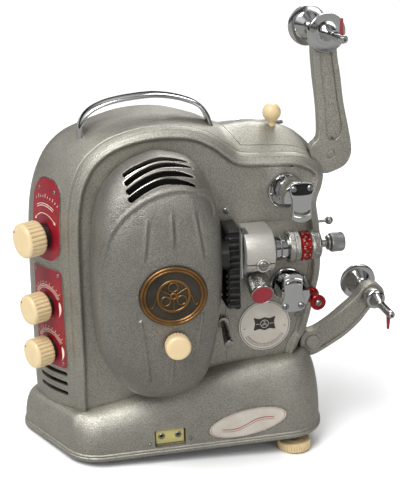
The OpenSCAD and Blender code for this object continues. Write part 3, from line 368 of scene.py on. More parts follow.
def hammered_group():
    """Hammered lacquer: cells of about a millimetre with bright rims, and slow clouds of tone."""
    t, i, o = group("hammered_lacquer", [("Cell", "value", 1300.0), ("Depth", "value", 0.5),
            ("Light", "colour", None), ("Dark", "colour", None), ("Normal", "vector", None)],
            [("Color", "colour"), ("Roughness", "value"), ("Normal", "vector")])
    place = spot_of(t)
    stir = node(t, "ShaderNodeTexNoise", {"Vector": place, "Scale": 420.0, "Detail": 3.0})
    moved = node(t, "ShaderNodeVectorMath", {0: stir.outputs["Color"], 1: (0.0011, 0.0011, 0.0011)},
                 operation="MULTIPLY")
    spot = node(t, "ShaderNodeVectorMath", {0: place, 1: moved.outputs[0]}, operation="ADD")
    cells = node(t, "ShaderNodeTexVoronoi", {"Vector": spot.outputs[0], "Scale": i.outputs["Cell"]},
                 feature="F1")
    fine = noise(t, place, 2600.0, 4.0, 0.7)
    slow = noise(t, place, 26.0, 4.0, 0.6)
    height = maths(t, "ADD", maths(t, "MULTIPLY", cells.outputs["Distance"], 1.0),
                   maths(t, "MULTIPLY", fine, 0.7))
    tone = ramp(t, height, [(0.25, 0.0), (0.95, 1.0)])
    mixed_tone = blend_colour(t, "MIX", tone, i.outputs["Dark"], i.outputs["Light"])
    cloud = ramp(t, slow, [(0.3, 0.86), (0.7, 1.06)])
    colour = blend_colour(t, "MULTIPLY", 1.0, mixed_tone, cloud)
    bump = node(t, "ShaderNodeBump", {"Strength": i.outputs["Depth"], "Distance": 0.0004, "Height": height,
            "Normal": i.outputs["Normal"]})
    rough = ramp(t, fine, [(0.3, 0.30), (0.75, 0.50)])
    t.links.new(colour, o.inputs["Color"])
    t.links.new(rough, o.inputs["Roughness"])
    t.links.new(bump.outputs[0], o.inputs["Normal"])
    return t


def wear_group():
    """Rubbed edges and small chips: a mask from the bevel of the edges broken up by noise."""
    t, i, o = group("edge_wear", [("Width", "value", 0.0012), ("Amount", "value", 0.5),
                                  ("Specks", "value", 0.3)], [("Edge", "value"), ("Speck", "value")])
    place = spot_of(t)
    round_edge = node(t, "ShaderNodeBevel", {"Radius": i.outputs["Width"]}, samples=4)
    flat = node(t, "ShaderNodeNewGeometry")
    dot = node(t, "ShaderNodeVectorMath", {0: round_edge.outputs[0], 1: flat.outputs["Normal"]},
               operation="DOT_PRODUCT")
    edge = ramp(t, dot.outputs["Value"], [(0.86, 1.0), (0.985, 0.0)])
    broken = noise(t, place, 240.0, 5.0, 0.7)
    worn = maths(t, "MULTIPLY", edge, ramp(t, broken, [(0.42, 0.0), (0.62, 1.0)]), clamp=True)
    t.links.new(maths(t, "MULTIPLY", worn, i.outputs["Amount"], clamp=True), o.inputs["Edge"])
    spots = noise(t, place, 210.0, 6.0, 0.75)
    where = noise(t, place, 24.0, 2.0)
    speck = maths(t, "MULTIPLY", ramp(t, spots, [(0.66, 0.0), (0.70, 1.0)]),
                  ramp(t, where, [(0.50, 0.0), (0.60, 1.0)]), clamp=True)
    t.links.new(maths(t, "MULTIPLY", speck, i.outputs["Specks"], clamp=True), o.inputs["Speck"])
    return t


def grime_group():
    """Painted shade with grime: darkening where the surface is shut in, broken up by noise as dust and dark
    film.
    """
    t, i, o = group("corner_grime", [("Openness", "value", 1.0), ("Amount", "value", 0.5)],
                    [("Shade_and_grime", "value")])
    place = spot_of(t)
    dirt = noise(t, place, 90.0, 4.0)
    corner = ramp(t, i.outputs["Openness"], [(0.35, 1.0), (0.85, 0.0)])
    film = maths(t, "MULTIPLY", corner, ramp(t, dirt, [(0.3, 0.45), (0.7, 1.0)]), clamp=True)
    t.links.new(maths(t, "MULTIPLY", film, i.outputs["Amount"], clamp=True), o.inputs["Shade_and_grime"])
    return t


def scratches_group():
    """Fine rubbing marks and finger film on polished metal."""
    t, i, o = group("fine_scratches", [("Base", "value", 0.08), ("Spread", "value", 0.12)],
                    [("Roughness", "value"), ("Height", "value")])
    place = spot_of(t)
    a = node(t, "ShaderNodeMapping", {"Vector": place, "Scale": (900.0, 60.0, 900.0),
            "Rotation": (0.4, 0.2, 0.7)})
    lines = noise(t, a.outputs[0], 1.0, 3.0)
    film = noise(t, place, 55.0, 4.0)
    both = maths(t, "MULTIPLY", ramp(t, lines, [(0.55, 0.0), (0.75, 1.0)]), 0.5)
    both = maths(t, "ADD", both, ramp(t, film, [(0.4, 0.0), (0.75, 0.6)]))
    t.links.new(maths(t, "ADD", maths(t, "MULTIPLY", both, i.outputs["Spread"]), i.outputs["Base"]),
                o.inputs["Roughness"])
    t.links.new(lines, o.inputs["Height"])
    return t


GROUPS = {}


def groups():
    if not GROUPS:
        GROUPS.update(hammered=hammered_group(), wear=wear_group(), grime=grime_group(),
                      scratches=scratches_group())
    return GROUPS


def placed(tree, name, **values):
    n = tree.nodes.new("ShaderNodeGroup")
    n.node_tree = groups()[name]
    for key, value in values.items():
        n.inputs[key].default_value = value
    return n


def corners(tree, reach, amount):
    """Painted shade with grime in the corners of the piece that the material is on, from its ambient
    occlusion.
    """
    shut_in = node(tree, "ShaderNodeAmbientOcclusion", {"Distance": reach}, samples=6)
    g = placed(tree, "grime", Amount=amount)
    tree.links.new(shut_in.outputs["AO"], g.inputs["Openness"])
    return g


def new_material(name, **sockets):
    mat = bpy.data.materials.new(name)
    mat.use_nodes = True
    t = mat.node_tree
    bsdf = t.nodes["Principled BSDF"]
    for key, value in sockets.items():
        bsdf.inputs[key.replace("_", " ")].default_value = value
    return mat, t, bsdf


def hammered(name, light, dark, cell, depth, metal, wear=0.5, specks=0.35, bare=(205, 200, 190)):
    mat, t, b = new_material(name, Metallic=metal, Specular_IOR_Level=0.5, Coat_Weight=0.25,
                             Coat_Roughness=0.18)
    h = placed(t, "hammered", Cell=cell, Depth=depth, Light=linear(*light), Dark=linear(*dark))
    w = placed(t, "wear", Amount=wear, Specks=specks)
    g = corners(t, 0.006, 0.55)
    colour = blend_colour(t, "MIX", w.outputs["Edge"], h.outputs["Color"], linear(*bare))
    colour = blend_colour(t, "MIX", w.outputs["Speck"], colour, linear(96, 66, 42))
    # Painted shade with grime: the colour darkens in corners and creases found by ambient occlusion.
    colour = blend_colour(t, "MIX", g.outputs["Shade_and_grime"], colour, linear(70, 64, 50))
    t.links.new(colour, b.inputs["Base Color"])
    rough = maths(t, "ADD", h.outputs["Roughness"], maths(t, "MULTIPLY", g.outputs["Shade_and_grime"], 0.3))
    t.links.new(rough, b.inputs["Roughness"])
    t.links.new(h.outputs["Normal"], b.inputs["Normal"])
    return mat


def polished(name, colour, base=0.07, spread=0.10, metal=1.0, grime=0.6, bump=0.02):
    mat, t, b = new_material(name, Metallic=metal)
    s = placed(t, "scratches", Base=base, Spread=spread)
    g = corners(t, 0.003, grime)
    # Painted shade with grime: the tint darkens in corners found by ambient occlusion.
    tint = blend_colour(t, "MIX", g.outputs["Shade_and_grime"], linear(*colour), linear(58, 50, 40))
    t.links.new(tint, b.inputs["Base Color"])
    t.links.new(maths(t, "ADD", s.outputs["Roughness"], maths(t, "MULTIPLY", g.outputs["Shade_and_grime"], 0.35)),
                b.inputs["Roughness"])
    bumped(t, b, bump, 0.0002, s.outputs["Height"])
    return mat


def moulded(name, colour, aged, rough=0.32, grime=0.7, coat=0.25):
    """Old moulded plastic: slight mottling, corners browned and darkened as painted shade, and a worn
    gloss.
    """
    mat, t, b = new_material(name, Coat_Weight=coat, Coat_Roughness=0.22, Subsurface_Weight=0.12,
                             Subsurface_Scale=0.002)
    b.inputs["Subsurface Radius"].default_value = (1.0, 0.7, 0.4)
    place = spot_of(t)
    cloud = noise(t, place, 70.0, 5.0)
    fine = noise(t, place, 1500.0, 3.0)
    g = corners(t, 0.0035, grime)
    w = placed(t, "wear", Amount=0.0, Specks=0.45)
    base = blend_colour(t, "MIX", ramp(t, cloud, [(0.35, 0.0), (0.7, 0.55)]), linear(*colour),
                        linear(*aged))
    # Painted shade with browning: the colour darkens in corners found by ambient occlusion.
    base = blend_colour(t, "MIX", g.outputs["Shade_and_grime"], base, linear(122, 88, 48))
    base = blend_colour(t, "MIX", w.outputs["Speck"], base, linear(96, 70, 44))
    t.links.new(base, b.inputs["Base Color"])
    t.links.new(ramp(t, cloud, [(0.3, rough - 0.06), (0.75, rough + 0.14)]), b.inputs["Roughness"])
    bumped(t, b, 0.12, 0.0002, fine)
    return mat


def painted(name, colour, deep, rough=0.3, metal=0.0, coat=0.5, wear=0.4, specks=0.3, bare=(190, 184, 170),
            grain=900.0):
    """Smooth enamel or anodising with chips, rubbed edges, and painted shade with grime in its corners."""
    mat, t, b = new_material(name, Metallic=metal, Coat_Weight=coat, Coat_Roughness=0.12)
    place = spot_of(t)
    cloud = noise(t, place, 60.0, 5.0)
    fine = noise(t, place, grain, 3.0)
    g = corners(t, 0.004, 0.6)
    w = placed(t, "wear", Amount=wear, Specks=specks, Width=0.0006)
    base = blend_colour(t, "MIX", ramp(t, cloud, [(0.3, 0.0), (0.75, 1.0)]), linear(*colour), linear(*deep))
    base = blend_colour(t, "MIX", w.outputs["Edge"], base, linear(*bare))
    base = blend_colour(t, "MIX", w.outputs["Speck"], base, linear(70, 52, 40))
    # Painted shade with grime: near-black mixed in where ambient occlusion finds corners and recesses.
    base = blend_colour(t, "MIX", g.outputs["Shade_and_grime"], base, linear(24, 18, 14))
    t.links.new(base, b.inputs["Base Color"])
    t.links.new(ramp(t, fine, [(0.3, rough - 0.05), (0.75, rough + 0.12)]), b.inputs["Roughness"])
    bumped(t, b, 0.08, 0.0002, fine)
    return mat


def crinkled(name, colour=(22, 21, 20)):
    """Black crinkle paint with dust on its crests."""
    mat, t, b = new_material(name, Coat_Weight=0.2, Coat_Roughness=0.3)
    place = spot_of(t)
    crests = noise(t, place, 900.0, 4.0, 0.6, 1.2)
    dust = noise(t, place, 260.0, 6.0, 0.8)
    base = blend_colour(t, "MIX", ramp(t, dust, [(0.55, 0.0), (0.72, 0.5)]), linear(*colour),
                        linear(120, 112, 98))
    t.links.new(base, b.inputs["Base Color"])
    t.links.new(ramp(t, crests, [(0.3, 0.7), (0.7, 0.35)]), b.inputs["Roughness"])
    bumped(t, b, 0.9, 0.0004, crests)
    return mat


def clear_glass(name, tint):
    mat, t, b = new_material(name, Transmission_Weight=1.0, IOR=1.5, Roughness=0.02)
    b.inputs["Base Color"].default_value = tint
    b.inputs["Coat Weight"].default_value = 0.6
    b.inputs["Coat Tint"].default_value = (0.75, 0.7, 1.0, 1.0)
    return mat


FINISH = {}


def finishes(c):
    """All the finishes of the machine, from the colours in the panel."""
    if FINISH:
        return FINISH
    screen = lambda x: x * 12.92 if x <= 0.0031308 else 1.055 * x ** (1 / 2.4) - 0.055
    shade = lambda v: tuple(int(round(255 * screen(x))) for x in v[:3])
    body = shade(c.body_colour)
    cover = shade(c.cover_colour)
    dim = lambda v, k: tuple(max(0, int(x * k)) for x in v)
    FINISH["body"] = hammered("hammered body lacquer", body, dim(body, 0.56), 950.0, 0.7, 0.8)
    FINISH["cover"] = hammered("hammered cover lacquer", cover, dim(cover, 0.52), 900.0, 0.85, 0.85,
                               wear=0.7)
    FINISH["cast"] = hammered("cast lens block lacquer", (196, 194, 186), (150, 148, 141), 1500.0, 0.45,
                              0.6, wear=0.6, specks=0.5)
    FINISH["red"] = painted("red plate enamel", shade(c.red_colour), dim(shade(c.red_colour), 0.8),
                            rough=0.36, coat=0.3, specks=0.5)
    FINISH["anodised"] = painted("red anodising", (176, 18, 20), (126, 10, 14), rough=0.26, metal=0.75,
                                 coat=0.2, wear=0.6, specks=0.15, bare=(214, 150, 140))
    FINISH["cream"] = moulded("cream knob plastic", shade(c.cream_colour), (206, 182, 132))
    FINISH["chrome"] = polished("worn chrome", (206, 206, 206), base=0.09, spread=0.16)
    FINISH["satin"] = polished("turned nickel", (186, 184, 178), base=0.22, spread=0.16, bump=0.06)
    FINISH["bare"] = polished("bare worn metal", (214, 210, 200), base=0.25, spread=0.2, bump=0.05)
    FINISH["steel"] = polished("bright steel", (170, 170, 168), base=0.28, spread=0.2, bump=0.05)
    FINISH["dark"] = painted("black enamel", (26, 26, 26), (14, 14, 14), rough=0.4, coat=0.2)
    FINISH["crinkle"] = crinkled("black crinkle paint")
    FINISH["bronze"] = painted("aged bronze", (152, 112, 66), (100, 72, 42), rough=0.34, metal=0.85,
                               coat=0.1, wear=0.8, specks=0.25, bare=(200, 164, 112))
    FINISH["ground"] = painted("dark badge ground", (62, 56, 46), (40, 36, 30), rough=0.55, metal=0.4,
                               coat=0.05, specks=0.4, bare=(150, 120, 80))
    FINISH["label"] = painted("pale label enamel", (196, 190, 180), (176, 168, 156), rough=0.38, metal=0.1,
                              coat=0.3, wear=0.2, specks=0.35)
    FINISH["ink"] = painted("dark label ink", (46, 42, 38), (34, 30, 28), rough=0.45, coat=0.1, wear=0.2)
    FINISH["red_ink"] = painted("red label ink", (168, 40, 36), (140, 26, 26), rough=0.4, coat=0.1,
                                wear=0.3)
    FINISH["white_ink"] = painted("pale dial print", (236, 226, 208), (222, 208, 186), rough=0.5, coat=0.0,
                                  wear=0.2, specks=0.2)
    FINISH["rubber"] = moulded("black rubber", (26, 25, 24), (40, 38, 36), rough=0.65, grime=0.2, coat=0.0)
    FINISH["glass"] = clear_glass("coated lens glass", (0.92, 0.93, 1.0, 1.0))
    FINISH["ceramic"] = moulded("glazed ceramic", (226, 222, 210), (206, 198, 182), rough=0.2, coat=0.6)
    FINISH["aged"] = moulded("aged socket plastic", (186, 176, 112), (160, 148, 88))
    # Near-black: real blacking on the lens stop, and painted shade on the louvre vanes and on the floor of
    # the shoe's recess.
    FINISH["hollow"] = painted("black inside and painted shade", (16, 15, 14), (10, 10, 9), rough=0.85, coat=0.0, wear=0.0,
                               specks=0.0)
    return FINISH


# Shapes of the level machine

TOP = spline([(-HALF_L, LOW - 5), (-96, LOW), (-53, LOW + 7), (-10, (LOW + HIGH) / 2), (34, HIGH - 7.5),
              (73, HIGH - 3), (117, HIGH), (HALF_L, HIGH + 1)], 8, closed=False)

FRONT = [(98, 14), (112, 30), (124, 82), (132, 98), (141, 134), (146, 160), (146, 190), (144, 210),
         (142, 227), (147, 243), (148, 257), (141, 268), (122, 277), (94, 279), (70, 281), (59, 288),
         (46, 298), (27, 307), (6, 310.5), (-21, 310), (-49, 303), (-68, 291.5), (-80, 277), (-89, 255),
         (-94, 220), (-96, 150), (-97, 90), (-98, 34), (-84, 16)]
MIDDLE = [(102, 14), (116, 30), (128, 82), (136, 98), (145, 134), (150, 160), (150, 190), (148, 210),
          (146, 227), (151, 243), (152, 259), (144, 276), (124, 293), (95, 301), (72, 301), (60, 300),
          (48, 303), (30, 310), (2, 316), (-30, 315), (-62, 307.5), (-84, 295), (-100, 277), (-111, 252),
          (-117, 216), (-121, 150), (-122, 90), (-122, 34), (-108, 16)]
REAR = [(102, 14), (116, 30), (128, 82), (136, 98), (145, 134), (150, 160), (150, 190), (148, 210),
        (146, 227), (151, 243), (152, 258), (144, 273), (124, 289), (95, 297), (72, 297), (60, 297),
        (50, 301), (33, 308.5), (0, 317), (-36, 316), (-72, 305.5), (-92, 296), (-108, 279), (-120, 251),
        (-126, 214), (-129, 150), (-130, 90), (-130, 34), (-116, 16)]
STEPS = 6

COVER = [(42, 195), (41, 164), (37, 133), (31, 101), (22, 78), (5, 64), (-20, 61), (-42, 67), (-57, 81),
         (-70, 105), (-75, 132), (-76, 176), (-73, 221), (-68, 247), (-57, 269), (-39, 284), (-18, 291.5),
         (-4, 291), (16, 284), (29, 267), (37, 247), (41, 224)][::-1]
COVER_MID, COVER_OUT, COVER_GAP = (-14.0, 168.0), 58.0, 0.6
COVER_RISE = spline([(0, 0.985), (12, 1.01), (26, 1), (36, 0.965), (44, 0.9), (50, 0.8), (54.5, 0.66),
                     (57, 0.5), (58, 0.35)], 5, closed=False)
BADGE_AT, NUT_AT = (-9.0, 173.0), (-8.0, 128.0)


def outline(y):
    """The body's outline at a depth, as (x, z) points."""
    f, m, r = (spline(p, STEPS) for p in (FRONT, MIDDLE, REAR))
    if y <= CREASE_Y:
        return f
    if y <= 10:
        u = (y - CREASE_Y) / (10 - CREASE_Y)
        return mixed(f, m, math.sin(math.pi / 2 * u) * 0.4 + 0.6 * u)
    return mixed(m, r, min(1, (y - 10) / 20))


def body_form(name, c, bead):
    """The body as a closed form, c inside its skin; bead adds the twin moulding round the panel."""
    if bead:
        steps = [(PANEL_Y + y, d) for y,
                 d in ((0, 15.5), (-0.1, 14.2), (-0.35, 13.1), (-0.9, 12.1), (-1.8, 11.3), (-2.7, 10.7),
                       (-3.4, 9.9), (-3.7, 9.1), (-3.6, 8.3), (-3.1, 7.6), (-2.3, 7.0), (-1.5, 6.6),
                       (-1.2, 6.2), (-0.3, 5.4), (0.7, 4.5), (1.9, 3.7), (2.3, 3.45), (2.5, 3.0),
                       (3.9, 2.1), (5.5, 1.3), (7.0, 0.75), (7.7, 0.6), (8.1, 0.1), (8.9, 0.0))]
    else:
        steps = [(PANEL_Y + c, 12.5 + c), (PANEL_Y + 3.4, 6.0 + c), (CREASE_Y, c)]
    steps += [(y, c) for y in (-23, -20, -16, -11, -5, 1, 7, 13, 20, 27, 33, 38)]
    steps += [(40, 1 + c), (42.5, 1.7 + c), (44.5, 2.6 + c), (46, 3.8 + c)]
    if c:
        steps += [(BACK_Y + 1, 10 + c)]
    else:
        steps += [(47, 5.2)]
    return skinned(name, [[(x, y, z) for x, z in inset(outline(y), d)] for y, d in steps])


def rim_loop(n=18):
    """The rim of the base from above: (x, y, outward normal), anticlockwise from the lens end's front."""
    turn = math.degrees(END_TURN)
    arcs = [((HALF_L - CORNER, -HALF_D + CORNER), CORNER, -90, 0), ((HALF_L - 25, HALF_D - 25), 25, 0, 90),
            ((-HALF_L + 25, HALF_D - 25), 25, 90, 180 + turn),
            ((-74.0, -HALF_D + CORNER), CORNER, 180 + turn, 270)]
    out = []
    for centre, r, a0, a1 in arcs:
        for k in range(n + 1):
            a = math.radians(a0 + (a1 - a0) * k / n)
            out.append((centre[0] + r * math.cos(a), centre[1] + r * math.sin(a), math.cos(a), math.sin(a)))
    full = []
    for i, p in enumerate(out):
        q = out[(i + 1) % len(out)]
        gap = math.hypot(q[0] - p[0], q[1] - p[1])
        cuts = max(1, int(gap / 6))
        for k in range(cuts):
            t = k / cuts
            nx, ny = p[2] * (1 - t) + q[2] * t, p[3] * (1 - t) + q[3] * t
            s = math.hypot(nx, ny)
            full.append((p[0] * (1 - t) + q[0] * t, p[1] * (1 - t) + q[1] * t, nx / s, ny / s))
    return full


def shoulder(nx, ny):
    """Width of the rounded shoulder of the base, by the side that it is on."""
    front, right, back, left = max(0, -ny), max(0, nx), max(0, ny), max(0, -nx)
    slant = max(0.0, 1 - abs(nx + math.cos(END_TURN)) * 3 - abs(ny + math.sin(END_TURN)) * 3)
    wide = (SHOULDER * front ** 2 + SHOULDER * 0.75 * right ** 2 + SHOULDER * 0.5 * back ** 2
            + SHOULDER * 0.5 * left ** 2)
    return wide * (1 - slant) + 13.3 * slant


def swell(u):
    return 1.0 if u >= 1 else (1 - (1 - u) ** 2.6) ** (1 / 2.1)


UPPER_ARM = [(138, 386), (140.5, 393), (149, 396.5), (157.5, 393), (160.2, 385), (160.5, 366), (164, 345),
             (167.5, 320), (172.5, 297), (176, 277), (174.5, 267), (169.5, 260), (160, 255.5),
             (150.5, 253.5), (142, 257), (137.2, 265), (136, 275), (138, 282), (142.5, 286), (144.3, 293),
             (143, 318), (139.5, 346), (137.5, 370)][::-1]
LOWER_ARM = [(131, 93), (126.8, 84), (127.5, 74), (134, 68.7), (143, 69.2), (159, 77.3), (175, 87),
             (189, 99.5), (200, 112.8), (209, 116.5), (213, 126), (209, 134.5), (200, 138.3), (191, 134.5),
             (184, 125.5), (172, 115.5), (157, 104), (142, 95.5)]
HANDLE = [(-75, 296), (-73.5, 309), (-66, 320), (-53, 327), (-35, 331), (-11, 333), (5, 332), (22, 328),
          (36, 321.5), (44, 312), (48.5, 298)]
ARM_FRONT, ARM_BACK = -24.0, -12.0
UPPER_SPINDLE, LOWER_SPINDLE = (149.0, 384.5), (200.0, 125.5)
LATCH_Y = -69.0
UPPER_PIVOT, LOWER_PIVOT = (156.0, 272.0), (139.5, 82.5)
LID_PIN = (37.0, 292.5)
CLAMP_AT, LABEL_AT, SOCKET_AT = (77.0, 186.5), (88.0, 110.0), (-12.0, 17.0)
SPROCKETS = ((112.0, 244.5), (110.0, 150.5))
LOUVRES = [[(-45.1, -66.2, 276.7), (-32, -66.5, 284), (-16.0, -66.0, 288.9), (0, -65, 288.3),
            (13.5, -63.3, 283.4)], [(-44.7, -73.7, 271.0), (-31, -72, 278.6), (-15.5, -70.1, 283.0),
                                    (0, -69, 282.6), (15, -66.5, 277)],
                                    [(-44.0, -78.7, 264.7), (-30, -77.6, 273.2), (-14.5, -76.0, 278.0),
                                            (1, -75.5, 277.6), (16, -73.5, 272)],
                                                    [(-43.0, -81.8, 258.6), (-29, -81.6, 267.6),
                                                            (-13.6, -80.7, 273.1), (1, -80.3, 272.2),
                                                                    (17.3, -78.3, 266.3)]]
ARCH = [(33, -70, 236), (31.3, -71.7, 250), (22, -76, 258.5), (4, -81, 263.5), (-12, -84, 262.5),
        (-25, -85, 258.5), (-37, -85.3, 252), (-47.8, -85, 243.5), (-58.5, -82.7, 229.5), (-65, -79.5, 212),
        (-69.8, -76.1, 190.3), (-71.3, -74, 165), (-70.5, -73, 140), (-67, -72, 122)]
RIBS = [((-28.4, -88.3, 244.2), (-33.7, -91.2, 204.8)), ((-7.7, -88.2, 248.1), (-7.2, -91.4, 214.7)),
        ((12.5, -85.9, 247.4), (18.9, -89.1, 202.0)), ((-38.7, -91.2, 150.6), (-32.9, -84.9, 90.4)),
        ((-11.0, -90.8, 117.9), (-13.1, -85.1, 87.5)), ((16.9, -89.2, 151.7), (6.0, -83.6, 87.8))]


# More tools that need the shapes

def rounded(outline_points, n=6):
    return spline(outline_points, n)


def slot_cutter(name, path, normals, width, deep, ends=(1.0, 1.0)):
    """A cutter that follows a path over a surface; ends give how full its two ends are."""
    rings = []
    m = len(path)
    for i, (p, n) in enumerate(zip(path, normals)):
        p, n = Vector(p), Vector(n)
        t = (Vector(path[min(i + 1, m - 1)]) - Vector(path[max(i - 1, 0)])).normalized()
        w = n.cross(t).normalized()
        u = i / (m - 1)
        left = min(1.0, u / 0.05) if ends[0] >= 1 else min(1.0, u / 0.3)
        right = min(1.0, (1 - u) / 0.05) if ends[1] >= 1 else min(1.0, (1 - u) / 0.3)
        h = width / 2 * max(0.08, math.sqrt(max(0, 1 - (1 - left) ** 2)) * math.sqrt(max(0,
                1 - (1 - right) ** 2)))
        rings.append([p + w * h + n * deep, p - w * h + n * deep, p - w * h - n * deep,
                      p + w * h - n * deep])
    return skinned(name, rings)


def on_surface(obj, points, steps=8):
    """Smooth path through points, brought onto a piece's surface: places and normals."""
    tree = BVHTree.FromPolygons([v.co for v in obj.data.vertices], [p.vertices for p in obj.data.polygons])
    path, normals = [], []
    for p in spline(points, steps, closed=False):
        place, normal, index, distance = tree.find_nearest(Vector(p))
        path.append(place)
        normals.append(normal)
    return path, normals


def wire(name, path, r, closed=False):
    """A round wire along a path, made as a bevelled curve."""
    curve = bpy.data.curves.new(name, "CURVE")
    curve.dimensions, curve.bevel_depth, curve.bevel_resolution = "3D", r, 2
    line = curve.splines.new("POLY")
    line.points.add(len(path) - 1)
    for point, place in zip(line.points, path):
        point.co = (*place, 1)
    line.use_cyclic_u = closed
    obj = bpy.data.objects.new(name, curve)
    bpy.context.collection.objects.link(obj)
    only(obj)
    bpy.ops.object.convert(target="MESH")
    return named(name)


def knob(name, profile, flutes, depth, low, high, place, share=0.5, edge=1.2):
    """A turned knob with grooves cut into its side between two heights."""
    steps = flutes * 10
    obj = lathe(name, profile, steps=steps)
    outer = max(r for r, h in profile)
    for v in obj.data.vertices:
        r = math.hypot(v.co.x, v.co.y)
        if r < outer * 0.8:
            continue
        a = math.atan2(v.co.y, v.co.x) * flutes / (2 * math.pi)
        wave = abs((a % 1) - 0.5) * 2
        groove = max(0.0, 1 - (wave / share) ** 2) if wave < share else 0.0
        fade = max(0.0, min(1.0, (v.co.z - low) / edge)) * max(0.0, min(1.0, (high - v.co.z) / edge))
        k = (r - depth * math.sqrt(groove) * math.sqrt(fade)) / r if groove * fade > 0 else 1
        v.co.x *= k
        v.co.y *= k
    obj.data.transform(place)
    return obj


def knurled(name, profile, low, high, depth, place, count, steps, slope=0.0):
    """A turned piece with a knurl: straight, or crossed where slope gives the turns of its lines."""
    fine = []
    for (r0, h0), (r1, h1) in zip(profile, profile[1:]):
        cuts = 1
        if abs(h1 - h0) > 2 and slope:
            cuts = int(abs(h1 - h0) / 0.28)
        fine += [(r0 + (r1 - r0) * k / cuts, h0 + (h1 - h0) * k / cuts) for k in range(cuts)]
    fine.append(profile[-1])
    obj = lathe(name, fine, steps=steps)
    outer = max(r for r, h in profile)
    for v in obj.data.vertices:
        r = math.hypot(v.co.x, v.co.y)
        if r < outer * 0.9 or not low <= v.co.z <= high:
            continue
        a = math.atan2(v.co.y, v.co.x) * count
        t = (v.co.z - low) / (high - low) * slope * 2 * math.pi
        g = 0.5 - 0.5 * math.cos(a) if not slope else 1 - (0.5 + 0.5 * math.cos(a + t)) * (0.5
                + 0.5 * math.cos(a - t))
        k = (r - depth * g) / r
        v.co.x *= k
        v.co.y *= k
    obj.data.transform(place)
    return obj


def facing(x, y, z, tilt=0.0):
    """Place whose z runs to the viewer, along -Y, at a point; tilt points it down."""
    return Matrix.Translation((x, y, z)) @ Matrix.Rotation(math.pi / 2 + tilt, 4, "X")


def lens_place(x, turn=0.0):
    return Matrix.Translation((x, OPTIC_Y, OPTIC_Z)) @ Matrix.Rotation(math.pi / 2, 4,
            "Y") @ Matrix.Rotation(turn, 4, "Z")


def screw(name, place, r, height, turn=0.4):
    """A domed slotted screw head standing on its place."""
    head = lathe(name, [(0, -0.4), (r * 0.97, -0.4), (r, 0.15 * height), (r * 0.93, 0.45 * height),
                        (r * 0.72, 0.75 * height), (r * 0.4, 0.94 * height), (0, height)], steps=40)
    slit = block("slit", (-r * 1.2, -r * 0.13, height * 0.45), (r * 1.2, r * 0.13, height * 2))
    slit.data.transform(Matrix.Rotation(turn, 4, "Z"))
    cut(head, slit)
    head.data.transform(place)
    return head


def arc(centre, r, width, a0, a1, n=24, taper=None):
    """Band of an arc as quads in a plane: (points, faces); taper gives its width along it."""
    points, faces = [], []
    for k in range(n + 1):
        u = k / n
        a = math.radians(a0 + (a1 - a0) * u)
        w = width * (taper(u) if taper else 1)
        for q in (r - w / 2, r + w / 2):
            points.append((centre[0] + q * math.cos(a), centre[1] + q * math.sin(a), 0))
        if k:
            faces.append((2 * k - 2, 2 * k, 2 * k + 1, 2 * k - 1))
    return points, faces


def bar(p, q, width, n=6):
    """Straight band from p to q as quads."""
    d = Vector((q[0] - p[0], q[1] - p[1], 0)).normalized()
    side = Vector((-d.y, d.x, 0)) * width / 2
    points, faces = [], []
    for k in range(n + 1):
        c = Vector((p[0] + (q[0] - p[0]) * k / n, p[1] + (q[1] - p[1]) * k / n, 0))
        points += [tuple(c - side), tuple(c + side)]
        if k:
            faces.append((2 * k - 2, 2 * k, 2 * k + 1, 2 * k - 1))
    return points, faces


def printed(name, bands, place, target=None, lift=0.06, thick=0.08):
    """Print or inlay made of bands, laid on a plane or pressed onto a piece."""
    points, faces = [], []
    for p, f in bands:
        base = len(points)
        points += p
        faces += [tuple(i + base for i in face) for face in f]
    obj = from_mesh(name, points, faces)
    if target is None:
        obj.data.transform(place @ Matrix.Translation((0, 0, lift)))
    else:
        obj.matrix_basis = place
        bpy.context.view_layer.update()
        apply(obj, "SHRINKWRAP", target=target, wrap_method="PROJECT", use_project_z=True,
              use_negative_direction=True, use_positive_direction=False, offset=lift)
        settle(obj)
    apply(obj, "SOLIDIFY", thickness=thick, offset=1.0)
    return obj


def pressed_plate(name, outline_points, place, target, thick, pitch=1.6):
    """A thin plate of a given outline pressed onto a piece, its outline in the plane of its place."""
    xs, ys = [p[0] for p in outline_points], [p[1] for p in outline_points]
    low, high = (min(xs) - 2, min(ys) - 2), (max(xs) + 2, max(ys) + 2)
    nothing_selected()
    bpy.ops.mesh.primitive_grid_add(x_subdivisions=int((high[0] - low[0]) / pitch),
                                    y_subdivisions=int((high[1] - low[1]) / pitch), size=1)
    obj = named(name)
    obj.data.transform(Matrix.Translation(((low[0] + high[0]) / 2, (low[1] + high[1]) / 2,
            25)) @ Matrix.Diagonal((high[0] - low[0], high[1] - low[1], 1, 1)))
    obj.matrix_basis = place
    bpy.context.view_layer.update()
    apply(obj, "SHRINKWRAP", target=target, wrap_method="PROJECT", use_project_z=True,
          use_negative_direction=True, use_positive_direction=False, offset=0.02)
    settle(obj)
    apply(obj, "SOLIDIFY", thickness=thick, offset=1.0)
    limit = prism("limit", outline_points, -60, 60)
    limit.data.transform(place)
    cut(obj, limit, how="INTERSECT")
    bevel(obj, thick * 0.25, 2, 50)
    return obj


def rounded_box(x0, x1, y0, y1, r, n=8):
    out = []
    for cx, cy, a in ((x1 - r, y1 - r, 0), (x0 + r, y1 - r, 90), (x0 + r, y0 + r, 180),
                      (x1 - r, y0 + r, 270)):
        for k in range(n + 1):
            t = math.radians(a + 90 * k / n)
            out.append((cx + r * math.cos(t), cy + r * math.sin(t)))
    return out


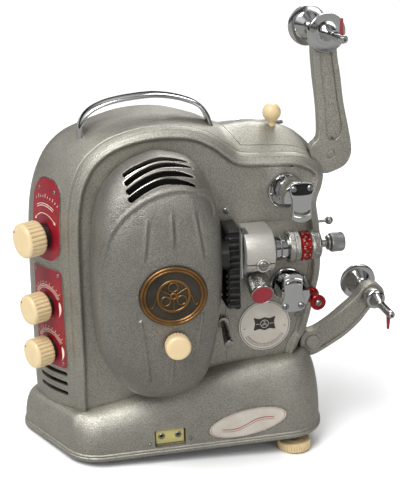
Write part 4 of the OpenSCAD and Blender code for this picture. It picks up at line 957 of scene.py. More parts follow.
class ProjectorSizes(bpy.types.PropertyGroup):
    """Sizes in millimetres that change the look and leave the frame alone."""
    knob_flutes: bpy.props.IntProperty(name="Knob flutes",
            description="Flutes round the large control knob", default=24, min=12, max=40)
    flute_depth: bpy.props.FloatProperty(name="Flute depth", description="Depth of the knobs' flutes",
            default=0.9, min=0.1, max=1.4)
    rib_height: bpy.props.FloatProperty(name="Rib height",
            description="Height of the ribs on the lamphouse cover", default=1.9, min=0.3, max=2.5)
    louvre_width: bpy.props.FloatProperty(name="Louvre width",
            description="Clear width of the louvre slots", default=6.2, min=2.0, max=7.0)
    seam_gap: bpy.props.FloatProperty(name="Seam gap", description="Gap between the lid and the body",
            default=0.6, min=0.2, max=1.2)
    foot_flutes: bpy.props.IntProperty(name="Foot flutes", description="Flutes round each screw foot",
            default=40, min=16, max=60)


class ProjectorColours(bpy.types.PropertyGroup):
    """Colours of the main finishes."""
    body_colour: bpy.props.FloatVectorProperty(name="Body", description="Hammered lacquer of body and base",
            subtype="COLOR", size=3, min=0, max=1, default=linear(178, 175, 164)[:3])
    cover_colour: bpy.props.FloatVectorProperty(name="Cover",
            description="Hammered lacquer of the lamphouse cover", subtype="COLOR", size=3, min=0, max=1,
            default=linear(162, 159, 151)[:3])
    red_colour: bpy.props.FloatVectorProperty(name="Plates", description="Enamel of the control plates",
            subtype="COLOR", size=3, min=0, max=1, default=linear(142, 14, 34)[:3])
    cream_colour: bpy.props.FloatVectorProperty(name="Knobs",
            description="Moulded plastic of knobs and feet", subtype="COLOR", size=3, min=0, max=1,
            default=linear(214, 192, 152)[:3])


def sizes():
    return bpy.context.scene.projector_sizes


class Maker:
    """Shared by the pieces' operators."""
    bl_options = {"REGISTER"}

    def execute(self, context):
        nothing_selected()
        self.make()
        nothing_selected()
        return {"FINISHED"}


class PROJECTOR_OT_base(Maker, bpy.types.Operator):
    """Cast base with its rounded shoulder, rim bead and socket window, its underside and feet"""
    bl_idname = "projector.base"
    bl_label = "Base"

    def make(self):
        loop = rim_loop()
        rings = [[(x, y, 0.0) for x, y, nx, ny in loop]]
        inner = []
        for u in (0.0, 0.008, 0.02, 0.045, 0.08, 0.13, 0.19, 0.26, 0.34, 0.43, 0.53, 0.64, 0.76, 0.88, 1.0):
            inner = [(x - nx * shoulder(nx, ny) * u, y - ny * shoulder(nx, ny) * u) for x, y, nx,
                     ny in loop]
            rings.append([(px, py, along(TOP, px) * swell(u + 0.002)) for px, py in inner])
        for t in (0.3, 0.65, 0.92):
            ring = [(px * (1 - t) + max(-95, min(105, px * 0.8)) * t, py * (1 - t) + 5.0 * t) for px,
                    py in inner]
            rings.append([(px, py, along(TOP, px)) for px, py in ring])
        base = skinned("base_casting_piece", rings)
        cleaned(base, 0.001)
        hollow = prism("hollow", [(x - nx * 5, y - ny * 5) for x, y, nx, ny in loop], -1, 13)
        window = block("window", (-27, -HALF_D - 6, 7.5), (3, -HALF_D + 5, 24.5))
        bevel(window, 1.5, 3, 40)
        pocket = block("pocket", (-26.6, -HALF_D + 2, 8), (2.6, -HALF_D + 32, 24))
        wells = [cylinder("well", 5.2, 32, (WHEEL_AT[0], s * WHEEL_AT[1], 15.5)) for s in (-1, 1)]
        root = cylinder("root room", 15, 13, (LOWER_PIVOT[0], -18, LOWER_PIVOT[1]), "Y", 64)
        cut(base, hollow, window, pocket, root, *wells)
        profile = [(-2.0, 0.0), (1.1, 0.0), (1.5, 0.4), (1.5, 3.3), (1.15, 3.7), (0.8, 4.05), (1.1, 4.4),
                   (1.25, 4.8), (1.2, 5.6), (0.8, 6.3), (0.0, 6.7), (-2.0, 6.9)]
        rim = skinned("rim", [[(x + nx * o, y + ny * o, h) for o, h in profile] for x, y, nx,
                              ny in loop + loop[:1]], caps=False)
        cleaned(rim, 0.001)
        base = joined("base_casting_piece", base, rim)
        done(base, "stand", "body", ["base_casting"], angle=40)
        under = copied("base_bottom_plate")
        bevel(under, 0.3)
        done(under, "stand", "dark", ["base_bottom_plate"])
        feet = copied("rubber_feet")
        bevel(feet, 0.8, 3)
        done(feet, "stand", "rubber", ["rubber_feet"])
        r, t = WHEEL_D / 2, WHEEL_T
        profile = [(0, 0.8), (r - 5, 0.8), (r - 4.5, 0), (r - 1.6, 0), (r - 0.5, 0.5), (r, 1.6), (r, 3.0),
                   (r, 4.5), (r, t - 3.0), (r, t - 1.6), (r - 0.5, t - 0.5), (r - 1.6, t), (9, t),
                   (8.5, t + 0.5), (0, t + 0.5)]
        for side, body_name in ((-1, "front"), (1, "rear")):
            x, y = WHEEL_AT[0], side * WHEEL_AT[1]
            wheel = knob(body_name + "_screw_foot_piece", profile, sizes().foot_flutes, 0.8, 0.4, t - 0.4,
                         Matrix.Translation((x, y, -WHEEL_LOW)), share=0.62)
            done(wheel, body_name + "_foot", "cream", [body_name + "_screw_foot"])
            turns = [(0, -9.4)]
            for k in range(26):
                turns += [(5.0, -9.2 + k * 1.25), (4.4, -8.75 + k * 1.25), (5.0, -8.3 + k * 1.25)]
            done(lathe(body_name + "_foot_screw", turns + [(0, 24)], (x, y, 0)), body_name + "_foot",
                 "steel", angle=20)


class PROJECTOR_OT_body(Maker, bpy.types.Operator):
    """Body shell with bead, vents and lid opening, top lid, mechanism plate, back cover and handle"""
    bl_idname = "projector.body"
    bl_label = "Body"

    def make(self):
        body = body_form("body_shell_piece", 0, True)
        cleaned(body, 0.001)
        lid = body_form("top_lid_piece", 0, True)
        cleaned(lid, 0.001)
        inner = body_form("inner", 3.0, False)
        cleaned(inner, 0.001)
        holes = [body_cut_by_base(), lid_prism(sizes().seam_gap)]
        holes.append(cylinder("hinge room", 6, 80.5, (95.2, *LID_PIN), "X", 32))
        for i in range(3):
            vent = block("vent", (-2.1, -21.5, -8), (2.1, 21.5, 8))
            bevel(vent, 1.9, 4, 40)
            vent.data.transform(end_place(74 - 10 * i))
            holes.append(vent)
        holes.append(prism("upper arm room", inset(rounded(UPPER_ARM), -0.7), ARM_FRONT - 2, ARM_BACK + 0.6,
                           "Y"))
        holes.append(prism("lower arm room", inset(rounded(LOWER_ARM), -0.7), ARM_FRONT - 2, ARM_BACK + 0.6,
                           "Y"))
        holes.append(cylinder("upper arm swing", 20.6, 12.6, (UPPER_PIVOT[0], -18, UPPER_PIVOT[1]), "Y",
                              96))
        holes.append(cylinder("lower arm swing", 14.6, 12.6, (LOWER_PIVOT[0], -18, LOWER_PIVOT[1]), "Y",
                              96))
        holes.append(prism("rear vent", rounded_box(-40, 12, 222, 258, 3), PANEL_Y - 5, PANEL_Y + 8, "Y"))
        holes.append(prism("low vent", rounded_box(-40, 6, 84, 112, 3), PANEL_Y - 5, PANEL_Y + 8, "Y"))
        holes.append(mechanism_prism("plate room", 14.4, 49.8, 214.2, PANEL_Y - 2, PANEL_Y + 2.5))
        holes.append(cylinder("shaft hole", 4.5, 50, (145, -10, 180), "X", 32))
        holes.append(cylinder("lever hole", 1.9, 50, (145, -8, 202), "X", 32))
        holes.append(cylinder("old hole", 1.2, 4, (115, PANEL_Y, 266), "Y", 24))
        cut(body, *holes[:3], inner, *holes[3:])
        done(body, "stand", "body", ["body_shell"], angle=32)

        inner = body_form("inner", 2.0, False)
        cleaned(inner, 0.001)
        cut(lid, lid_prism(0), how="INTERSECT")
        lugs = [block("lug room", (x - 0.5, 32.5, 284.5), (x + 5.5, 52.5, 304.5)) for x in (78, 121)]
        cut(lid, inner, *lugs)
        barrel = cylinder("barrel", 3.9, 36, (102, *LID_PIN), "X", 32)
        lid = joined("top_lid_piece", lid, barrel)
        done(lid, "lid", "body", ["top_lid"], angle=32)
        profile = [(0, -13), (3.4, -13), (3.4, -8), (5.2, -7.6)]
        profile += [polar(8.75, a) for a in range(-52, 91, 6)]
        done(lathe("lid_ball_knob_piece", profile[:-1] + [(0, 8.75)], (107, 6, 309)), "lid", "cream",
             ["lid_ball_knob"])
        done(copied("lid_hinge_pin"), "stand", "steel", ["lid_hinge_pin"])

        plate = mechanism_prism("mechanism_plate_piece", 14.7, 50, 214, PANEL_Y, PANEL_Y + 2.4)
        bevel(plate, 0.35, 2, 40)
        below = body_cut_by_base()
        cut(plate, below)
        done(plate, "stand", "body", ["mechanism_plate"])

        back = prism("back_cover_piece", inset(outline(BACK_Y), 8), BACK_Y - 3, BACK_Y - 0.1, "Y")
        bevel(back, 0.8, 3, 50)
        vents = [prism("slot", rounded_box(-70 + 14 * i, -65 + 14 * i, 210, 260, 2.4), 40, 60, "Y")
                 for i in range(6)]
        vents += [prism("slot", rounded_box(60 + 14 * i, 65 + 14 * i, 120, 160, 2.4), 40, 60, "Y")
                  for i in range(4)]
        cut(back, body_cut_by_base(), *vents)
        done(back, "stand", "body", ["back_cover"])
        heads = [screw("head", Matrix.Translation((x, BACK_Y - 0.2, z)) @ Matrix.Rotation(-math.pi / 2, 4,
                "X"), 3.2, 1.6, x) for x,
                z in ((-105, 70), (-100, 262), (15, 300), (128, 270), (135, 180), (115, 100))]
        for head in heads:
            for v in head.data.vertices:
                v.co.y = min(v.co.y, BACK_Y + 1.4)
        done(joined("back_cover_screws", *heads), "stand", "steel")

        path = spline(HANDLE, 12, closed=False)
        rings = []
        for i, p in enumerate(path):
            a, b = path[max(i - 1, 0)], path[min(i + 1, len(path) - 1)]
            d = Vector((b[0] - a[0], b[1] - a[1])).normalized()
            out = (-d.y, d.x)
            section = [(-9.2, 0.7), (-8.2, 1.35), (-5.5, 1.8), (0, 2.0), (5.5, 1.8), (8.2, 1.35),
                       (9.2, 0.7), (10, -0.4), (10, -1.2), (9.5, -1.8), (8.8, -2.0), (0, -1.8),
                       (-8.8, -2.0), (-9.5, -1.8), (-10, -1.2), (-10, -0.4)]
            rings.append([(p[0] + out[0] * h, 8 + w, p[1] + out[1] * h) for w, h in section])
        strap = skinned("carrying_handle_piece", rings)
        cleaned(strap, 0.001)
        done(strap, "stand", "chrome", ["carrying_handle"], angle=40)


def mechanism_prism(name, d, x0, z1, y0, y1):
    """The mechanism's plate as a prism: the panel's outline inset by d, cut off at x0 and z1."""
    plate = prism(name, inset(outline(CREASE_Y), d), y0, y1, "Y")
    cut(plate, block("limit", (x0, y0 - 1, 40), (180, y1 + 1, z1)), how="INTERSECT")
    return plate


def body_cut_by_base():
    """Everything under the base's top."""
    points = [(-200, -20), (-200, LOW - 9)] + [(x, z - 1.2) for x, z in TOP] + [(200, HIGH), (200, -20)]
    return prism("below", points, -100, 100, "Y")


def lid_prism(g):
    """Opening of the lid, seen from above; its left edge bows out a little."""
    left = [(55.8 - g, 38 + g), (57.8 - g, 20), (61.4 - g, 2), (66 - g, -10), (71 - g, PANEL_Y + 15 - g)]
    shape = left + [(134.5 + g, PANEL_Y + 15 - g), (134.5 + g, 38 + g)]
    return prism("lid opening", shape, 268, 328)


def end_place(z):
    """Frame on the control end's face: x up, y to the back, z out of the face."""
    return (Matrix.Translation((END_FACE[0], END_FACE[1], z)) @ Matrix.Rotation(END_TURN, 4,
            "Z") @ Matrix.Rotation(-math.pi / 2, 4, "Y"))


class PROJECTOR_OT_controls(Maker, bpy.types.Operator):
    """Control plates with their print, fluted knobs, inching knob, speed ball and framing lever"""
    bl_idname = "projector.controls"
    bl_label = "Controls"

    def make(self):
        skin = body_form("skin", 0, True)
        cleaned(skin, 0.001)
        upper = rounded_box(186, 262, -22, 22, 17, 14)
        lower = rounded_box(80, 178, -22, 22, 3.5)
        flat = end_place(0)
        for name, shape, spots in (("upper_control_plate", upper, ((252, 13.5), (252, -13.5))),
                                   ("lower_control_plate", lower,
                                    ((173.5, 17.5), (173.5, -17.5), (84.5, 17.5), (84.5, -17.5)))):
            border = pressed_plate(name + "_border", inset(shape, -0.9), flat, skin, 0.45)
            done(border, "stand", "satin")
            plate = pressed_plate(name + "_piece", shape, flat, skin, 0.85)
            heads = []
            for u, v in spots:
                p, n = self.touch(plate, flat, u, v)
                heads.append(screw("head",
                                   Matrix.Translation(p) @ n.to_track_quat("Z", "Y").to_matrix().to_4x4(),
                                   1.9, 0.9, u))
            bands = self.print_of(name)
            ink = printed(name + "_print", bands, flat @ Matrix.Translation((0, 0, 25)), plate, 0.03, 0.05)
            done(ink, "stand", "white_ink")
            done(plate, "stand", "red", [name])
            done(joined(name + "_screws", *heads), "stand", "steel")
        bpy.data.objects.remove(skin, do_unlink=True)
        for name, z, d, flutes in (("upper", KNOB_Z[0], 33, sizes().knob_flutes),
                                   ("middle", KNOB_Z[1], 29, sizes().knob_flutes - 2),
                                   ("lower", KNOB_Z[2], 29, sizes().knob_flutes - 2)):
            r = d / 2
            profile = [(0, 4), (r - 2.2, 4), (r - 0.9, 4.4), (r - 0.25, 5.4), (r, 6.6), (r, 8), (r, 10),
                       (r, 12), (r, 14.5), (r, 16.5), (r, 18), (r, 19), (r - 0.05, 20), (r - 0.45, 21.3),
                       (r - 1.5, 22.4), (r - 3.0, 22.9), (r - 6, 23.0), (0, 22.7)]
            piece = knob(name + "_knob_piece", profile, flutes, sizes().flute_depth * 1.1, 4.0, 19.6,
                         end_place(z), share=0.42)
            done(piece, name + "_control", "cream", [name + "_knob"], angle=40)
            collar = lathe(name + "_knob_collar",
                           [(0, -2), (r - 4, -2), (r - 3.4, 1.2), (r - 3.4, 3.6), (r - 4, 4.2), (0, 4.2)])
            collar.data.transform(end_place(z))
            done(collar, name + "_control", "dark")
            dot = lathe(name + "_knob_index", [(0, 0), (1.25, 0), (1.1, 0.22), (0, 0.3)], steps=24)
            dot.data.transform(end_place(z) @ Matrix.Translation((r * 0.42, r - 5.6, 22.8)))
            done(dot, name + "_control", "red_ink")
        profile = [(0, 0), (8, 0), (9.0, 0.8), (9.5, 2.0), (9.5, 12.0), (9.0, 13.2), (8.0, 14), (6.5, 13.7),
                   (0, 13.7)]
        place = Matrix.Translation((160, -10, 180)) @ Matrix.Rotation(math.pi / 2, 4, "Y")
        wheel = knurled("inching_knob_piece", profile, 1.6, 12.4, 0.35, place, 64, 640)
        shaft = lathe("shaft", [(0, -40), (4, -40), (4, -3), (6.6, -2.8), (7.2, -2.2), (7.2, -0.6),
                                (6.4, 0.2), (0, 0.2)])
        shaft.data.transform(place)
        done(joined("inching_knob_piece", wheel, shaft), "inching", "steel", ["inching_knob"])
        ball = lathe("speed_ball_piece",
                     [(0, -20), (1.5, -20), (1.5, -3.7)] + [polar(4, a) for a in range(-66, 90, 6)]
                     + [(0, 4)])
        ball.data.transform(Matrix.Translation((160, -8, 202)) @ Matrix.Rotation(math.pi / 2, 4, "Y"))
        done(ball, "ball_lever", "satin", ["speed_ball"])
        foot = lathe("foot", [(0, 0.3), (6, 0.3), (6, 3.4), (5, 5), (0, 5)], (47, PANEL_Y, 119), "-Y")
        lever = lathe("lever", [(0, 0), (2.6, 0), (3.0, 2.0), (4.9, 26.5), (4.6, 27.6), (3.4, 28),
                                (0, 27.8)], steps=64)
        for k in range(6):
            a = k * math.pi / 3
            side = block("side", (-6, 4.05, 8), (6, 8, 25.6))
            side.data.transform(Matrix.Rotation(a, 4, "Z"))
            cut(lever, side)
        lever.data.transform(facing(47, PANEL_Y - 4, 119, math.radians(26)))
        done(joined("framing_lever_piece", foot, lever), "framing", "satin", ["framing_lever"], angle=25)

    @staticmethod
    def touch(plate, place, u, v):
        """Point and normal of a plate's outside over a spot of its plane."""
        tree = BVHTree.FromPolygons([w.co for w in plate.data.vertices],
                                    [p.vertices for p in plate.data.polygons])
        start = place @ Vector((u, v, 40))
        down = (place.to_3x3() @ Vector((0, 0, -1))).normalized()
        p, n, index, distance = tree.ray_cast(start, down)
        return p, n

    @staticmethod
    def print_of(name):
        """Plain scales: rings, ticks and pointers round the knobs."""
        bands, z = [], KNOB_Z[0]
        if name.startswith("upper"):
            bands.append(arc((z, 0), 21.5, 0.55, -52, 52))
            for a in (-52, 52):
                t = math.radians(a)
                c = (z + 21.5 * math.cos(t), 21.5 * math.sin(t))
                s = 1 if a > 0 else -1
                for q in (0.45, -0.45):
                    tip = (c[0] + 3.0 * math.cos(t - s * math.pi / 2 + q),
                           c[1] + 3.0 * math.sin(t - s * math.pi / 2 + q))
                    bands.append(bar(c, tip, 0.55, 3))
            for k in range(-5, 5):
                t = math.radians(k * 6.4)
                w = 3.4 if k % 3 == 0 else 2.0
                bands.append(bar((z + 36 * math.cos(t), 36 * math.sin(t)),
                                 (z + (36 + w) * math.cos(t), (36 + w) * math.sin(t)), 0.5, 4))
            bands.append(arc((z, 0), 30.5, 0.5, -28, 28))
            bands.append(arc((z, 0), 28.6, 0.5, -28, 28))
            return bands
        for z in KNOB_Z[1:]:
            for r in (17.2, 18.7, 20.2):
                bands.append(arc((z, 0), r, 0.4, -62, 62, 32))
            for s in (-1, 1):
                bands.append(arc((z, 0), 18.4, 2.6, s * 70, s * 118, 24,
                                 lambda u: 0.12 + math.sin(math.pi * min(1, u * 1.1) ** 0.7)))
            for k in range(-4, 5):
                t = math.radians(k * 13)
                bands.append(bar((z + 21.6 * math.cos(t), 21.6 * math.sin(t)),
                                 (z + 23.6 * math.cos(t), 23.6 * math.sin(t)), 0.45, 3))
        return [b for b in bands if max(abs(p[1]) for p in b[0]) < 21.3]


def cover_rings():
    """Rings of the cover from its edge to the middle of its face: (depth, share of the outline)."""
    rise = spline(COVER_RISE[::5], 12, closed=False)
    flat = [(COVER_OUT + 0.25 * (1 - (s / 0.35) ** 2), s)
            for s in (0.335, 0.315, 0.295, 0.27, 0.245, 0.215, 0.185, 0.15, 0.115, 0.08, 0.045, 0.015)]
    return rise + flat


def cover_skin(name, rings, loop, c, fine):
    """One skin of the cover, c inside the outside; the fine one takes the pressed ribs and the arch."""
    verts = np.array([[(COVER_MID[0] + (x - COVER_MID[0]) * (s - c / 90),
                        PANEL_Y - COVER_GAP - d * (COVER_OUT - c) / COVER_OUT,
                        COVER_MID[1] + (z - COVER_MID[1]) * (s - c / 90)) for x, z in loop] for d,
                        s in rings])
    if fine:
        across = np.roll(verts, -1, 1) - np.roll(verts, 1, 1)
        up = np.gradient(verts, axis=0)
        normal = np.cross(up, across)
        normal /= np.linalg.norm(normal, axis=2, keepdims=True) + 1e-9
        if normal[len(rings) // 2, :, 1].mean() > 0:
            normal = -normal
        verts = verts + normal * pressing(verts[..., 0], verts[..., 2])[..., None]
    count = len(loop)
    flat = [tuple(p) for p in verts.reshape(-1, 3)]
    faces = [(k * count + j, k * count + (j + 1) % count, (k + 1) * count + (j + 1) % count,
              (k + 1) * count + j) for k in range(len(rings) - 1) for j in range(count)]
    faces.append(tuple((len(rings) - 1) * count + j for j in range(count)))
    return flat, faces


def distance_to(x, z, a, b):
    """Distance of points from the line from a to b, the share along it and the side they are on."""
    dx, dz = b[0] - a[0], b[1] - a[1]
    length = dx * dx + dz * dz
    t = ((x - a[0]) * dx + (z - a[1]) * dz) / length
    k = np.clip(t, 0, 1)
    side = ((x - a[0]) * dz - (z - a[1]) * dx) / math.sqrt(length)
    return np.hypot(x - a[0] - k * dx, z - a[1] - k * dz), t, side


def pressing(x, z):
    """Height that ribs, arch and edge crease press out of the cover's face at points of its front view."""
    high = sizes().rib_height
    out = np.zeros_like(x)
    for i, (p, q) in enumerate(RIBS):
        a, b = (p[0], p[2]), (q[0], q[2])
        d, t, side = distance_to(x, z, a, b)
        length = math.dist(a, b)
        if i < 3:
            fade = np.clip(t * length / 12, 0, 1) ** 0.7 * np.clip((1 - t) * length / 9 + 0.15, 0, 1)
            out += high * 0.8 * np.exp(-(d / 1.5) ** 2) * np.where((t > 0) & (t < 1), fade, 0)
            trough = np.exp(-((side + 3.4) / 1.7) ** 2) * np.clip(np.minimum(t, 1 - t) * length / 8, 0, 1)
            out -= 0.45 * high * trough
        else:
            w = 1.75
            out += high * np.sqrt(np.clip(1 - (d / w) ** 2, 0, 1)) * np.clip(1.25 - 0.4 * t, 0, 1)
    path = spline([(p[0], p[2]) for p in ARCH], 5, closed=False)
    best = np.full_like(x, 1e9)
    signed, where = np.zeros_like(x), np.zeros_like(x)
    for i, (a, b) in enumerate(zip(path, path[1:])):
        d, t, side = distance_to(x, z, a, b)
        near = d < best
        best = np.where(near, d, best)
        signed = np.where(near, np.where(side > 0, -d, d), signed)
        where = np.where(near, (i + np.clip(t, 0, 1)) / (len(path) - 1), where)
    fade = np.clip(where / 0.03, 0, 1) * np.clip((1 - where) / 0.22, 0, 1)
    inside = signed
    bead = 0.75 * np.exp(-((inside + 2.1) / 1.5) ** 2) - 0.3 * np.exp(-((inside + 5.2) / 0.7) ** 2)
    step = np.clip((inside + 0.9) / 1.5, 0, 1)
    step = step * step * (3 - 2 * step) * np.exp(-np.clip(inside - 0.8, 0, None) / 8)
    out += fade * (bead - 1.25 * step)
    return out


class PROJECTOR_OT_lamphouse(Maker, bpy.types.Operator):
    """Lamphouse cover with louvres, ribs, badge, nut and stud, and the lamp and mirror inside"""
    bl_idname = "projector.lamphouse"
    bl_label = "Lamphouse"

    def make(self):
        loop = spline(COVER, 20)
        rings = cover_rings()
        outer, faces = cover_skin("outer", rings, loop, 0, True)
        coarse = [r for i, r in enumerate(rings) if i % 5 == 0] + [rings[-1]]
        thin = spline(COVER, 6)
        inner, more = cover_skin("inner", coarse, thin, 2.5, False)
        smooth_form = from_mesh("smooth form", outer, faces)
        slots = []
        for i, line in enumerate(LOUVRES):
            path, normals = on_surface(smooth_form, line, 8)
            normals = [Vector((n.x * 0.3, n.y, n.z)).normalized() if n.y < 0
                       else -Vector((n.x * 0.3, n.y, n.z)).normalized() for n in normals]
            slots.append((path, normals))
        cover = from_mesh("lamphouse_cover_piece", outer + inner,
                          faces + [tuple(i + len(outer) for i in f[::-1]) for f in more])
        n, m = len(loop), len(thin)
        only(cover)
        bm = bmesh.new()
        bm.from_mesh(cover.data)
        bm.verts.ensure_lookup_table()
        edge = [bm.edges.get((bm.verts[j], bm.verts[(j + 1) % n])) for j in range(n)]
        edge += [bm.edges.get((bm.verts[len(outer) + j], bm.verts[len(outer) + (j + 1) % m]))
                 for j in range(m)]
        bmesh.ops.bridge_loops(bm, edges=edge)
        bm.to_mesh(cover.data)
        bm.free()
        bpy.data.objects.remove(smooth_form, do_unlink=True)
        cleaned(cover, 0.0005)
        cutters = []
        wide = sizes().louvre_width
        for path, normals in slots:
            c = slot_cutter("slot", path, normals, wide, 13, ends=(1.0, 0.5))
            cleaned(c)
            cutters.append(c)
        notch = cylinder("notch", 18, 60, (40, OPTIC_Y, OPTIC_Z), "X", 64)
        low = block("notch low", (10, OPTIC_Y, OPTIC_Z - 18), (70, OPTIC_Y + 30, OPTIC_Z + 18))
        nut_hole = cylinder("nut hole", 3.3, 30, (NUT_AT[0], -92, NUT_AT[1]), "Y", 32)
        cut(cover, *cutters, notch, low, nut_hole)
        lips = []
        for path, normals in slots:
            for sign in (-1, 1):
                line = []
                for k, (p, q) in enumerate(zip(path, normals)):
                    u = k / (len(path) - 1)
                    t = (Vector(path[min(k + 1, len(path) - 1)]) - Vector(path[max(k - 1, 0)])).normalized()
                    w = q.cross(t).normalized()
                    full = math.sqrt(max(0.0, 1 - (1 - min(1.0, u / 0.05)) ** 2)) * min(1.0,
                            math.sqrt(max(0.0, (1 - u) / 0.3)))
                    line.append(Vector(p) + w * sign * (wide / 2 * full - 0.05) - q * 0.15)
                lips.append(wire("lip", line, 0.42))
        done(joined("louvre_lips", *lips), "cover", "bare")
        done(cover, "cover", "cover", ["lamphouse_cover"], angle=50)
        vanes = []
        for path, normals in slots:
            rows = [[Vector(p) + Vector((0, 7 + 2 * v, 0.5 - 9.5 * v)) for p in path] for v in (0, 1)]
            points = rows[0] + rows[1]
            k = len(rows[0])
            vanes.append(from_mesh("vane", points, [(j, j + 1, k + j + 1, k + j) for j in range(k - 1)]))
            apply(vanes[-1], "SOLIDIFY", thickness=0.8)
        # The vanes are near-black: painted shade behind the louvre slots.
        done(joined("louvre_vanes", *vanes), "cover", "hollow")
        self.badge()
        profile = [(0, 0.3), (9.6, 0.3), (10.4, 0.8), (10.9, 1.8), (11.25, 3.6), (11.4, 5.5), (11.5, 7.5),
                   (11.5, 9.2), (11.4, 10.6), (11.1, 11.8), (10.6, 12.8), (9.9, 13.5), (9.0, 13.85),
                   (7, 14), (0, 13.9)]
        nut = knob("cover_nut_piece", profile, 22, 0.75, 0.6, 10.4,
                   facing(NUT_AT[0], PANEL_Y - COVER_OUT - 1.8, NUT_AT[1]), share=0.5, edge=2.5)
        done(nut, "nut", "cream", ["cover_nut"], angle=40)
        boss = lathe("nut_boss", [(3.3, -2), (9.5, -2), (9.5, 0.8), (9.0, 1.5), (3.3, 1.5)],
                     (NUT_AT[0], PANEL_Y - COVER_OUT, NUT_AT[1]), "-Y")
        cleaned(boss)
        done(boss, "cover", "cover")
        stud = copied("cover_stud")
        bevel(stud, 0.4)
        done(stud, "stand", "steel", ["cover_stud"])
        self.inside()

    @staticmethod
    def badge():
        """Oval relief: a double ring and a film reel on a dark ground, with a thin dark outline."""
        place = facing(BADGE_AT[0], PANEL_Y - COVER_OUT - COVER_GAP - 0.5, BADGE_AT[1])
        squeeze = place @ Matrix.Diagonal((1, 27.5 / 30, 1, 1))
        rim = lathe("cover_badge_piece",
                    [(0, 0.2), (29.4, 0.2), (29.9, 0.7), (29.9, 1.6), (29.3, 2.5), (28.3, 2.95),
                     (27.7, 2.75), (27.35, 2.3), (27.0, 2.05), (26.7, 2.3), (26.3, 2.75), (25.6, 2.9),
                     (24.9, 2.5), (24.5, 1.7), (24.3, 1.3), (0, 1.3)], steps=144)
        rim.data.transform(squeeze)
        done(rim, "cover", "bronze", ["cover_badge"], angle=50)
        ground = lathe("badge_ground", [(0, 1.32), (0, 1.38), (24.3, 1.38), (24.3, 1.32)], steps=96)
        ground.data.transform(squeeze)
        done(ground, "cover", "ground")
        outline = lathe("badge_outline",
                        [(28.5, -0.6), (30.7, -0.6), (30.7, 0.45), (30.4, 0.6), (28.5, 0.6)], steps=144)
        cleaned(outline)
        outline.data.transform(squeeze)
        done(outline, "cover", "dark")
        reel = lathe("reel", [(12.9, 1.3), (13.2, 2.0), (13.9, 2.35), (14.6, 2.35), (15.3, 2.0),
                              (15.6, 1.3)], (0, 0, 0), steps=96)
        parts = [reel, lathe("hub", [(1.4, 1.3), (1.6, 2.2), (2.2, 2.55), (3.0, 2.5), (3.5, 2.0),
                (3.7, 1.3)], steps=48)]
        for k in range(3):
            a = math.radians(90 + 120 * k)
            hole = lathe("hole", [(3.4, 1.3), (3.6, 1.9), (4.0, 2.2), (4.4, 2.2), (4.8, 1.9), (5.0, 1.3)],
                         (8.3 * math.cos(a), 8.3 * math.sin(a), 0), steps=48)
            parts.append(hole)
            b = math.radians(30 + 120 * k)
            spoke = wire("spoke", [(3.4 * math.cos(b), 3.4 * math.sin(b), 1.6),
                                   (13.2 * math.cos(b), 13.2 * math.sin(b), 1.6)], 0.55)
            parts.append(spoke)
        for s in (-1, 1):
            line = [(s * (15.6 + 6.2 * u), -9.5 * math.sin(u * 2.2), 1.55)
                    for u in [k / 14 for k in range(15)]]
            parts.append(wire("film", line, 0.6))
        relief = joined("badge_relief", *parts)
        relief.data.transform(place)
        done(relief, "cover", "bronze", angle=50)

    @staticmethod
    def inside():
        x, y, z = -12, OPTIC_Y, OPTIC_Z
        curve = [(0, 14)] + [(14 * math.sin(math.radians(a)), 14 * math.cos(math.radians(a)))
                             for a in range(8, 145, 8)]
        curve += [(7.9, -12.4), (7.7, -15), (7.7, -25.8), (0, -25.8)]
        done(lathe("lamp_piece", curve, (x, y, z), steps=64), "stand", "glass", ["lamp"], angle=60)
        cap = lathe("lamp_cap", [(0, -42), (3.5, -42), (4, -41), (7, -40.6), (7.4, -40), (7.4, -27),
                                 (8.3, -26.6), (8.3, -25.4), (7.8, -25), (0, -25)], (x, y, z))
        parts = [cap]
        for s in (-1, 1):
            parts.append(wire("support",
                              [(x + s * 2, y, z - 25), (x + s * 2.2, y, z - 10), (x + s * 4.5, y, z - 3.5)],
                              0.3))
        coil = [(x - 4.5 + 9 * k / 48, y + 0.7 * math.cos(k * math.pi / 3),
                 z - 3.2 + 0.7 * math.sin(k * math.pi / 3)) for k in range(49)]
        parts.append(wire("filament", coil, 0.13))
        done(joined("lamp_fittings", *parts), "stand", "steel")
        socket = copied("lamp_socket")
        bevel(socket, 0.6, 3)
        done(socket, "stand", "ceramic", ["lamp_socket"])
        mirror = copied("reflector")
        done(mirror, "stand", "chrome", ["reflector"], angle=30)
        tube = copied("condenser")
        bevel(tube, 0.5)
        done(tube, "stand", "dark", ["condenser"])
        lens = lathe("condenser_lens", [(0, 11.6), (6, 12.2), (10, 13.4), (13.2, 15.0), (13.2, 15.9),
                (0, 15.9)], (0, 0, 0))
        lens.data.transform(lens_place(0))
        done(lens, "stand", "glass")


def block_outline(d=0.0):
    """Section of the lens block across its length as (y, z) points: round in front, square at the panel."""
    r = 20 - d
    front = [(OPTIC_Y - r * math.sin(math.radians(a)), OPTIC_Z - r * math.cos(math.radians(a)))
             for a in range(0, 181, 4)]
    return front + [(PANEL_Y - 0.01, OPTIC_Z + r), (PANEL_Y - 0.01, OPTIC_Z - r)]


